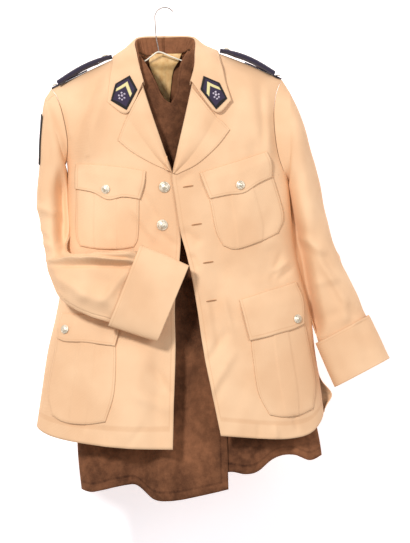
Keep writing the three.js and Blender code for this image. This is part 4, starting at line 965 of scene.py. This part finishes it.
# ---------------------------------------------------------------- collar patches
# Dark five-sided cloth patches sewn on the collar's points, with a woven chevron over a rosette of
# plain metal beads.
patch_cloth, shade, shader, where = new_finish("patch_cloth")
across, down = shade.cut_axes()
fuzz = shade.noise(where, 800.0, 3.0)
off_middle = (across - 0.5).size()
rim = off_middle.maths("MAXIMUM", off_middle, (down - 0.5).size())
edged = rim.between(0.385, 0.41)
ground = fuzz.colour(srgb(36, 27, 48), srgb(62, 50, 78))
feed(shade, shader, Base_Color=edged.colour(ground, srgb(24, 20, 20)), Roughness=0.88, Sheen_Weight=0.15)
feed(shade, shader, Normal=shade.bump(fuzz, 0.35, 0.0004))
woven_thread, shade, shader, where = new_finish("woven_thread")
fuzz = shade.noise(where, 1400.0, 2.0)
feed(shade, shader, Base_Color=fuzz.colour(srgb(196, 180, 112), srgb(244, 236, 178)), Roughness=0.6, Sheen_Weight=0.3)
feed(shade, shader, Normal=shade.bump(fuzz, 0.5, 0.0003))
bead_metal, shade, shader, where = new_finish("bead_metal")
dulled = shade.noise(where, 500.0, 3.0)
feed(shade, shader, Base_Color=dulled.between(0.3, 0.7).colour(srgb(150, 138, 156), srgb(214, 204, 216)))
feed(shade, shader, Metallic=0.4, Roughness=0.4)
PATCH_LIFT = 0.6
PATCH_THICK = 1.2


def on_collar(x, drop, lift):
    """A point over the collar's fall where it shows at x and drop, found by following its slope."""
    u = 0.04 if x < 0 else 0.96
    v = 0.6
    tiny = 1e-3

    def point(a, b):
        p = collar_point(a, b)[:, 0]
        return Vector((p[0], p[1], -p[2]))

    for _ in range(9):
        here = point(u, v)
        du = (point(u + tiny, v) - here) / tiny
        dv = (point(u, v + tiny) - here) / tiny
        miss_x = x - here.x
        miss_z = -drop - here.z
        area = du.x * dv.z - dv.x * du.z
        u = min(max(u + (miss_x * dv.z - miss_z * dv.x) / area, 0.0), 1 - 2 * tiny)
        v = min(max(v + (miss_z * du.x - miss_x * du.z) / area, 0.31), 1 - 2 * tiny)
    here = point(u, v)
    normal = (point(u + tiny, v) - here).cross(point(u, v + tiny) - here).normalized()
    normal = -normal if normal.y > 0 else normal
    return here + normal * lift


# corners: apex up along the roll, roll side, foot, tip, outer side
PATCHES = {
    "collar_patch_left": [(-66, 134), (-51, 161), (-72, 200), (-102, 182), (-93, 150)],
    "collar_patch_right": [(74, 135), (68, 161), (98, 199), (119, 178), (104, 148)],
}


def patch_place(corners, u, v):
    apex, roll_side, foot, tip, outer_side = (Vector(c) for c in corners)
    top = outer_side.lerp(apex, 2 * u) if u < 0.5 else apex.lerp(roll_side, 2 * u - 1)
    return top.lerp(tip.lerp(foot, u), v)


def over_patch(corners, lift):
    def at(u, v):
        found = [on_collar(*patch_place(corners, float(a), float(b)), lift) for a, b in zip(u, v)]
        return np.array([p.x for p in found]), np.array([p.y for p in found]), np.array([-p.z for p in found])

    return at


patches = {}
patch_parts = {}
for node, corners in PATCHES.items():
    laid = over_patch(corners, PATCH_LIFT + PATCH_THICK)
    base = cloth_mesh(node + "_cloth", laid, 16, 14, (0, -1, 0), shell=PATCH_THICK)
    give(base, patch_cloth)
    patches[node] = base
    over = over_patch(corners, PATCH_LIFT + PATCH_THICK + 0.5)

    def chevron_at(u, v, over=over):
        return over(mix(0.12, 0.88, u), 0.2 + 0.34 * np.abs(mix(0.12, 0.88, u) - 0.5) + mix(0.0, 0.16, v))

    chevron = cloth_mesh(node + "_chevron", chevron_at, 24, 3, (0, -1, 0), shell=0.5)
    give(chevron, woven_thread)
    bm = bmesh.new()
    for k in range(7):
        turn = 2 * math.pi * k / 6
        ring = 0.0 if k == 6 else 1.0
        bead = 2.7 if k == 6 else 2.1
        bead_u = 0.5 + 0.15 * ring * math.cos(turn)
        bead_v = 0.68 + 0.115 * ring * math.sin(turn)
        middle = on_collar(*patch_place(corners, bead_u, bead_v), PATCH_LIFT + PATCH_THICK + 0.5) * MM
        at_middle = Matrix.Translation(middle)
        bmesh.ops.create_uvsphere(bm, u_segments=20, v_segments=12, radius=bead * MM, matrix=at_middle)
        bmesh.ops.scale(bm, vec=(1, 0.6, 1), space=Matrix.Translation(-middle), verts=bm.verts[-(20 * 11 + 2):])
    rosette = into_scene(bm, node + "_rosette")
    give(rosette, bead_metal)
    patch_parts[node] = [chevron, rosette]

# ---------------------------------------------------------------- sleeve badge
# A plain dark cloth badge stitched high on the outer side of one sleeve, seen edge on from the front.
BADGE = {"top": 0.125, "foot": 0.255, "spread": 0.085, "thickness": 1.2, "lift": 1.2}


def badge_at(u, v):
    turn = mix(-BADGE["spread"], BADGE["spread"], u)
    along = mix(BADGE["top"], BADGE["foot"], v)
    tiny = 0.01
    here = np.array(sleeve_left_at(turn % 1, along))

    def near(off_u, off_v):
        return np.array(sleeve_left_plain((turn + off_u) % 1, along + off_v))

    across = near(tiny, 0) - near(-tiny, 0)
    below = near(0, tiny) - near(0, 0)
    normal = np.cross(across, below, axis=0)
    normal /= np.linalg.norm(normal, axis=0)
    normal *= -np.sign(normal[0])
    return here + normal * (BADGE["lift"] + BADGE["thickness"])


badge = cloth_mesh("badge_cloth", badge_at, 20, 20, (-1, 0, 0), shell=BADGE["thickness"])
give(badge, patch_cloth)

# ---------------------------------------------------------------- hanger
# A hanger bent from one round wire with a white plastic coat: a hook, a short neck and two arms.
hanger_coat, shade, shader, where = new_finish("hanger_coat")
feed(shade, shader, Base_Color=srgb(243, 234, 214), Roughness=0.35, Coat_Weight=0.4, Coat_Roughness=0.2)
bare_wire, shade, shader, where = new_finish("bare_wire")
scuffed = shade.noise(where, 300.0, 3.0)
feed(shade, shader, Base_Color=scuffed.between(0.3, 0.7).colour(srgb(128, 118, 112), srgb(168, 158, 150)))
feed(shade, shader, Metallic=0.5, Roughness=0.45)
WIRE = 1.4
HOOK_WIRE = 1.1
HOOK_RADIUS = 19.0
HOOK_TIP = 0.62
WOOL = 2.0
COAT_UNDER = CLOTH + 0.5  # the coat's shoulder seam lies this far under the tunic's
UNDER_SEAM = COAT_UNDER + WOOL + 0.8 + WIRE


def arm_drop(x):
    return float(shoulder_drop(x)) + UNDER_SEAM


def wire_along(name, points, radius, finish):
    """A round wire through points, with closed ends."""
    curve = bpy.data.curves.new(name, "CURVE")
    curve.dimensions = "3D"
    curve.bevel_depth = radius * MM
    curve.bevel_resolution = 5
    curve.use_fill_caps = True
    rows = np.asarray(points, float)
    at = line(rows)
    steps = 8 * (len(rows) - 1)
    spline = curve.splines.new("POLY")
    spline.points.add(steps)
    for k, entry in enumerate(spline.points):
        x, drop = (float(c) for c in at(k / steps))
        entry.co = (x * MM, 0.0, -drop * MM, 1.0)
    piece = bpy.data.objects.new(name, curve)
    bpy.context.collection.objects.link(piece)
    curve.materials.append(finish)
    return piece


hook_points = []
for k in range(9):
    angle = mix(HOOK_TIP, math.pi * 1.02, k / 8)
    hook_points.append((HOOK_RADIUS * math.cos(angle), HOOK_RADIUS + WIRE - HOOK_RADIUS * math.sin(angle)))
hook = wire_along("hanger_hook", hook_points + [(-16.5, 58), (-13, 76), (-11, 87)], HOOK_WIRE, bare_wire)
arms = wire_along("hanger_arms", [
    (-194, arm_drop(-194)), (-150, arm_drop(-150)), (-96, 116), (-44, 106), (-26, 95), (-11, 86.5),
    (14, 96), (43, 105), (96, 109), (150, arm_drop(150)), (194, arm_drop(194)),
], WIRE, hanger_coat)

# ---------------------------------------------------------------- coat
# A dark brown wool coat hung inside the tunic on the same hanger: two lapped fronts, a back cut with
# wide armholes, and a ribbed standing collar inside the tunic's. It hangs in deep folds to its hem.
COAT = np.array([
    (80, -178, 178, 46, 33), (130, -176, 176, 46, 33), (200, -168, 172, 46, 33), (320, -156, 176, 42, 32),
    (500, -158, 215, 40, 32), (700, -164, 265, 42, 34), (840, -167, 298, 45, 37), (950, -156, 306, 46, 38),
], float)
coat_left, coat_right, coat_front, coat_back = (smooth(COAT[:, 0], COAT[:, k]) for k in range(1, 5))
# where a fold meets the hem, how wide it is and how far it stands out
COAT_FOLDS = [
    (-120, 22, 7), (-62, 24, -12), (2, 34, 14), (78, 22, -5), (152, 16, 7), (176, 12, -6), (236, 26, -9),
    (276, 16, 6),
]
COAT_HEM_DROP = 900.0
COAT_FRONT_ROUND = 100.0
COAT_BACK_ROUND = 60.0
# finer dents of the wool where it hangs between the tunic's fronts and below their hem
COAT_CREASES = [
    (-8, 205, 2, 262, 9, -3.0), (14, 200, 18, 280, 7, 2.4), (34, 230, 38, 300, 8, -2.6),
    (24, 620, 34, 720, 10, -2.0),
    (52, 640, 44, 760, 10, 2.4), (64, 700, 60, 820, 9, -2.2), (30, 780, 20, 880, 12, 2.0),
    (-150, 830, -152, 930, 9, 4), (-106, 800, -102, 930, 12, -7), (-84, 800, -82, 930, 9, 6),
    (-38, 800, -36, 940, 12, -7),
    (34, 690, 26, 945, 12, -7), (98, 760, 100, 930, 9, 5), (140, 800, 142, 895, 8, -6),
    (164, 800, 163, 895, 8, 6),
    (212, 790, 210, 880, 11, -7), (250, 790, 252, 870, 9, 6), (284, 790, 288, 870, 8, -5),
]


def coat_seam(x):
    return shoulder_drop(x) + COAT_UNDER + 6.5 * (1 - ease(np.abs(x), 62, 92))


def coat_fullness(x, drop, rounding):
    middle = (coat_left(drop) + coat_right(drop)) / 2
    half = (coat_right(drop) - coat_left(drop)) / 2
    share = np.minimum(np.abs(x - middle) / half, 1)
    below = np.clip((drop - coat_seam(x)) / rounding, 0, 1)
    return (1 - share**ROUNDNESS) ** (1 / ROUNDNESS) * np.sqrt(1 - (1 - below) ** 2)


def coat_fold(x, drop):
    growth = np.clip((drop - 260) / (COAT_HEM_DROP - 260), 0, 1.1) ** 1.4
    spread = (x - coat_left(drop)) / (coat_right(drop) - coat_left(drop))
    hem_x = mix(float(coat_left(COAT_HEM_DROP)), float(coat_right(COAT_HEM_DROP)), spread)
    out = sum(depth * np.exp(-(((hem_x - at) / width) ** 2)) for at, width, depth in COAT_FOLDS)
    return out * growth


def coat_front_y(x, drop):
    full = coat_fullness(x, drop, COAT_FRONT_ROUND)
    return -SEAM / 2 - coat_front(drop) * full - (coat_fold(x, drop) + fold_lift(COAT_CREASES, x, drop)) * full


def coat_back_y(x, drop):
    full = coat_fullness(x, drop, COAT_BACK_ROUND)
    return SEAM / 2 + coat_back(drop) * full - 0.5 * coat_fold(x, drop) * full


def by_drop(points):
    rows = np.asarray(points, float)
    return smooth(rows[:, 0], rows[:, 1])


def coat_panel(start, end, top, hem, y_at):
    """A panel between two edges given as x by drop; its top and hem are drops by x."""
    def x_at(drop, u):
        middle = (coat_left(drop) + coat_right(drop)) / 2
        half = (coat_right(drop) - coat_left(drop)) / 2
        first = np.arccos(np.clip((middle - start(drop)) / half, -1, 1))
        last = np.arccos(np.clip((middle - end(drop)) / half, -1, 1))
        return middle - half * np.cos(mix(first, last, u))

    def meet(edge, drop, u):
        for _ in range(12):
            drop = edge(x_at(drop, u))
        return drop

    def at(u, v):
        drop = mix(meet(top, 110.0, u), meet(hem, COAT_HEM_DROP, u), v**1.5)
        x = x_at(drop, u)
        return x, y_at(x, drop), drop

    return at


ARM_SIDE_LEFT = by_drop([(80, -148), (128, -146), (170, -138), (220, -138), (262, -146), (300, -154.4), (320, -156)])
ARM_SIDE_RIGHT = by_drop([(80, 148), (128, 146), (170, 139), (220, 141), (262, 152), (300, 170), (320, 176)])
EDGE_OF_LEFT = by_drop([
    (80, -50), (90, -48), (114, -33), (150, -14), (172, -4), (184, 8), (193, 32), (204, 58), (300, 78),
    (400, 92), (800, 118),
    (930, 122),
])
EDGE_OF_RIGHT = by_drop([
    (80, 46), (90, 40), (105, 32), (120, 27), (140, 24), (165, 22), (186, 12), (230, 10), (300, 34), (400, 66),
    (800, 92), (930, 96),
])
HEM_OF_LEFT = by_drop([
    (-167, 919), (-141, 927), (-123, 924), (-71, 913), (-54, 913), (-20, 940), (10, 943), (67, 934), (122, 921),
])
HEM_OF_RIGHT = by_drop([
    (90, 894), (128, 888), (152, 892), (176, 888), (203, 866), (223, 857), (248, 856), (279, 866), (305, 854),
])
HEM_OF_BACK = by_drop([(-167, 919), (-60, 898), (60, 884), (190, 852), (305, 854)])
COAT_LAP = 4.5


def coat_side_left(drop):
    return np.where(drop < 320, ARM_SIDE_LEFT(drop), coat_left(drop))


def coat_side_right(drop):
    return np.where(drop < 320, ARM_SIDE_RIGHT(drop), coat_right(drop))


def coat_neck(x):
    return coat_seam(x) + 15.0 * np.maximum(0, 1 - (x / 50.0) ** 2)


def coat_lapped_y(x, drop):
    edge = EDGE_OF_LEFT(drop)
    return coat_front_y(x, drop) + COAT_LAP * (1 - ease(x - edge, 0, 40)) * ease(drop, 95, 135)


def coat_collar_point(u, v):
    """Inside the tunic's collar stand, from one side of the neck round the back to the other."""
    found = np.empty((3, len(u)))
    for n, (a, b) in enumerate(zip(u, v)):
        stand, roll = collar_sides[0 if a < 0.5 else 1][:2]
        k = abs(2 * a - 1) * 3.9
        foot, top = (Vector(float(curve(k)) for curve in curves) for curves in (stand, roll))
        point = foot.lerp(top, mix(0.93, 0.02, b))
        ahead = Vector(float(curve(k + 0.1)) for curve in stand)
        behind = Vector(float(curve(max(k - 0.1, 0))) for curve in stand)
        along = ahead - behind
        inward = Vector((along.y, -along.x, 0)).normalized() * (-1 if a < 0.5 else 1)
        found[:, n] = point + inward * (2.5 + WOOL + 0.8 * math.sin(2 * math.pi * 34 * a) * ease(b, 0.02, 0.2))
    return found


COAT_FRONT_WIDE = 250.0
COAT_HEM_REACH = 600.0  # short of the true height, so that the hem's stitching lies further in than the edge's
COAT_STITCH_IN = 8.0


def wool_finish(name, edges=""):
    """Heavy napped wool with painted light and shade in broad soft patches standing in for its folds, stitched along
    its hem and front edge.
    """
    finish, shade, shader, where = new_finish(name)
    nap = shade.noise(where, 420.0, 5.0, Roughness=0.7)
    painted_fold_shade = shade.noise(where, 6.5, 3.0, Roughness=0.55)
    fleck = shade.noise(where, 70.0, 4.0, Roughness=0.6)
    # painted light and shade: the broad soft patches, lighter and darker, stand in for the shading of the coat's
    # hanging folds
    tone = nap * 0.35 + painted_fold_shade.between(0.38, 0.66) * 0.42 + fleck.between(0.34, 0.7) * 0.23
    if edges:
        u, v = shade.cut_axes()
        to_edge = {"l": u * COAT_FRONT_WIDE, "r": u * -COAT_FRONT_WIDE + COAT_FRONT_WIDE}[edges]
        hem = v * -COAT_HEM_REACH + COAT_HEM_REACH
        off = to_edge.maths("MINIMUM", to_edge, hem) - COAT_STITCH_IN
        tone = tone - off.size().between(0.5, 1.6, 1.0, 0.0) * 0.13
    feed(shade, shader, Base_Color=tone.colour(srgb(54, 31, 22), srgb(158, 106, 74)), Roughness=0.95)
    feed(shade, shader, Sheen_Weight=0.3, Sheen_Roughness=0.6, Sheen_Tint=srgb(190, 136, 96), Specular_IOR_Level=0.1)
    feed(shade, shader, Normal=shade.bump(nap, 0.6, 0.0009))
    return finish


coat_left_piece = cloth_mesh(
    "coat_wool_left", coat_panel(coat_side_left, EDGE_OF_LEFT, coat_seam, HEM_OF_LEFT, coat_front_y), 100, 150,
    (0, -1, 0), shell=WOOL)
coat_right_piece = cloth_mesh(
    "coat_wool_right", coat_panel(EDGE_OF_RIGHT, coat_side_right, coat_seam, HEM_OF_RIGHT, coat_lapped_y), 80, 140,
    (0, -1, 0), shell=WOOL)
coat_back_piece = cloth_mesh(
    "coat_wool_back", coat_panel(coat_side_left, coat_side_right, coat_neck, HEM_OF_BACK, coat_back_y), 80, 100,
    (0, 1, 0), shell=WOOL)
coat_collar = cloth_mesh("coat_collar_stand", coat_collar_point, 240, 10, (0, -1, 0), shell=WOOL)
napped_wool = wool_finish("coat_wool")
for piece in (coat_back_piece, coat_collar):
    give(piece, napped_wool)
give(coat_left_piece, wool_finish("coat_wool_front_left", "r"))
give(coat_right_piece, wool_finish("coat_wool_front_right", "l"))

# ---------------------------------------------------------------- satin lining
# The gold satin lining over the inside of the coat's back, where it shows in the neck behind the wire.
satin, shade, shader, where = new_finish("satin_lining")
fine = shade.noise(where, 120.0, 2.0)
feed(shade, shader, Base_Color=fine.colour(srgb(214, 156, 88), srgb(255, 222, 158)), Roughness=0.42)
feed(shade, shader, Anisotropic=0.5, Sheen_Weight=0.2)
LINING_THICK = 1.0
LINING_TOP = 89.0
LINING_FOOT = 184.0
LINING_LEFT = by_drop([(89, -24), (104, -30), (146, -15), (170, -4), (184, 3)])
LINING_RIGHT = by_drop([(89, 32), (104, 26), (120, 17), (150, 12), (184, 9)])


def lining_at(u, v):
    drop = mix(LINING_TOP, LINING_FOOT, v)
    x = mix(LINING_LEFT(drop), LINING_RIGHT(drop), u)
    on_back = coat_back_y(x, drop) - WOOL - 1.6 - LINING_THICK
    on_collar = 18.6 - 0.0075 * x * x
    clear_of_back = on_back + 99 * ease(drop, 112, 100)
    y = mix(np.minimum(on_collar, clear_of_back), on_back, ease(drop, 104, 122))
    ripple = 0.8 * np.sin(np.pi * v) * np.sin(3 * np.pi * u)
    return x, y - np.abs(ripple), drop


lining = cloth_mesh("lining_fold", lining_at, 36, 50, (0, -1, 0), shell=LINING_THICK)
give(lining, satin)

# ---------------------------------------------------------------- what rides, what each piece stands for
# Everything hangs as one body. Each piece stands for its solid.
STANDS_FOR = {
    "tunic_front_left": [front_left], "tunic_front_right": [front_right], "tunic_back": [back],
    "collar": [collar], "lapel_left": [lapel_left], "lapel_right": [lapel_right],
    "cuff_left": [cuff_left], "cuff_right": [cuff_right], "sleeve_badge": [badge], "hanger": [hook, arms],
    "coat_front_left": [coat_left_piece], "coat_front_right": [coat_right_piece], "coat_back": [coat_back_piece],
    "coat_collar": [coat_collar], "coat_lining": [lining],
}
STANDS_FOR.update({node.replace("_bag_", "_pocket_"): [piece] for node, piece in bags.items()})
STANDS_FOR.update({node.replace("_cover_", "_flap_"): [piece] for node, piece in covers.items()})
STANDS_FOR.update({node: [piece] for node, piece in {**buttons, **boards}.items()})
STANDS_FOR.update({node: [piece, *patch_parts[node]] for node, piece in patches.items()})


def slot_of(node):
    if "button" in node:
        return "button_metal"
    if node == "hanger":
        return "hanger_wire"
    if node == "coat_lining":
        return "lining_satin"
    if node.startswith("coat"):
        return "coat_wool"
    if "board" in node or "loop" in node or "patch" in node or "badge" in node:
        return "navy_cloth"
    return "tunic_cloth"


for extra, slot in (*((hole, "tunic_cloth") for hole in holes), *((knob, "button_metal") for knob in knobs)):
    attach(extra, "root")
for side, sleeve in (("left", sleeve_left), ("right", sleeve_right)):
    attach(sleeve, "root")
    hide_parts(f"sleeve_{side}_top", f"sleeve_{side}_under")
for node, pieces in STANDS_FOR.items():
    for piece in pieces:
        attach(piece, "root")
        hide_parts(node)
        "button_metal" if "rosette" in piece.name else slot_of(node)
# Each cut is worked out from the drafted outline, in strips, with an allowance for the body's round.
CUTS = [
    (front_left, (0.27, 0.78), 0.170, "hung"), (front_right, (0.30, 0.78), 0.155, "hung"),
    (back, (0.56, 0.76), 0.345, "hung"), (collar, (0.47, 0.105), 0.035, "folded"),
    (lapel_left, (0.17, 0.10), 0.0085, "folded"), (lapel_right, (0.17, 0.10), 0.0085, "folded"),
    (sleeve_left, (0.30, 0.60), 0.130, "hung"), (sleeve_right, (0.30, 0.60), 0.120, "hung"),
    (cuff_left, (0.36, 0.098), None, "hung"), (cuff_right, (0.31, 0.095), None, "hung"),
    (bags["chest_bag_left"], (0.125, 0.14), 0.017, "laid"),
    (bags["chest_bag_right"], (0.125, 0.14), 0.017, "laid"),
    (bags["hip_bag_left"], (0.13, 0.18), 0.0225, "laid"), (bags["hip_bag_right"], (0.13, 0.18), 0.0225, "laid"),
    (covers["chest_cover_left"], (0.14, 0.065), 0.008, "laid"),
    (covers["chest_cover_right"], (0.14, 0.065), 0.008, "laid"),
    (covers["hip_cover_left"], (0.115, 0.065), 0.0069, "laid"),
    (covers["hip_cover_right"], (0.13, 0.09), 0.0104, "laid"),
    (coat_left_piece, (0.32, 0.86), 0.205, "hung"), (coat_right_piece, (0.28, 0.82), 0.121, "hung"),
    (coat_back_piece, (0.47, 0.84), 0.292, "hung"), (coat_collar, (0.30, 0.03), 0.006, "folded"),
    (lining, (0.07, 0.10), 0.0028, "folded"), (badge, (0.052, 0.0986), None, "laid"),
    *((patches[node], (0.05, 0.065), 0.0021, "laid") for node in patches),
    *((boards["shoulder_loop_" + side], (0.018, 0.09), None, "laid") for side in ("left", "right")),
]
for piece, flat, area, held in CUTS:
    ["hanger"] if held == "hung" else []

# ---------------------------------------------------------------- stage and lights
# A pale wall close behind, soft light from high on the left and a bright even room.
WALL_BEHIND = 0.2
wall_paint = bpy.data.materials.new("backdrop")
wall_paint.use_nodes = True
tree = wall_paint.node_tree
shade = Shade(tree)
surface = next(n for n in tree.nodes if n.type == "BSDF_PRINCIPLED")
feed(shade, surface, Base_Color=srgb(250, 248, 250), Roughness=0.9)
feed(shade, surface, Emission_Color=(0.97, 0.955, 1.0, 1.0), Emission_Strength=0.5)
clear = shade.node("BsdfTransparent", {})
seen_from = shade.node("NewGeometry", {}, "Backfacing")
both = shade.node("MixShader", {0: seen_from, 1: Shade(tree, surface.outputs[0]), 2: clear})
output = next(n for n in tree.nodes if n.type == "OUTPUT_MATERIAL")
tree.links.new(both.socket, output.inputs["Surface"])
bm = bmesh.new()
bmesh.ops.create_grid(bm, x_segments=1, y_segments=1, size=3.0)
data = bpy.data.meshes.new("backdrop")
for vert in bm.verts:
    vert.co = (vert.co.x, WALL_BEHIND, vert.co.y - 0.5)
bm.normal_update()
if next(iter(bm.faces)).normal.y > 0:
    bmesh.ops.reverse_faces(bm, faces=bm.faces)
bm.to_mesh(data)
bm.free()
backdrop = bpy.data.objects.new("backdrop", data)
bpy.context.collection.objects.link(backdrop)
data.materials.append(wall_paint)


def area_light(name, place, aim, power, size, colour=(1, 1, 1)):
    data = bpy.data.lights.new(name, "AREA")
    data.energy = power
    data.shape = "DISK"
    data.size = size
    data.color = colour
    lamp = bpy.data.objects.new(name, data)
    bpy.context.collection.objects.link(lamp)
    lamp.location = place
    lamp.rotation_euler = (Vector(aim) - Vector(place)).to_track_quat("-Z", "Y").to_euler()
    return lamp


area_light("key", (-1.8, -3.9, 1.5), (0.05, 0, -0.5), 156, 0.7, (1.0, 0.98, 0.97))
area_light("fill", (2.4, -3.2, 0.2), (0.05, 0, -0.5), 46, 2.2, (1.0, 0.96, 0.96))
world = bpy.data.worlds.new("room")
world.use_nodes = True
world.node_tree.nodes["Background"].inputs["Color"].default_value = (1.0, 0.97, 0.96, 1.0)
world.node_tree.nodes["Background"].inputs["Strength"].default_value = 0.42
bpy.context.scene.world = world
bpy.context.scene.view_settings.view_transform = "Standard"
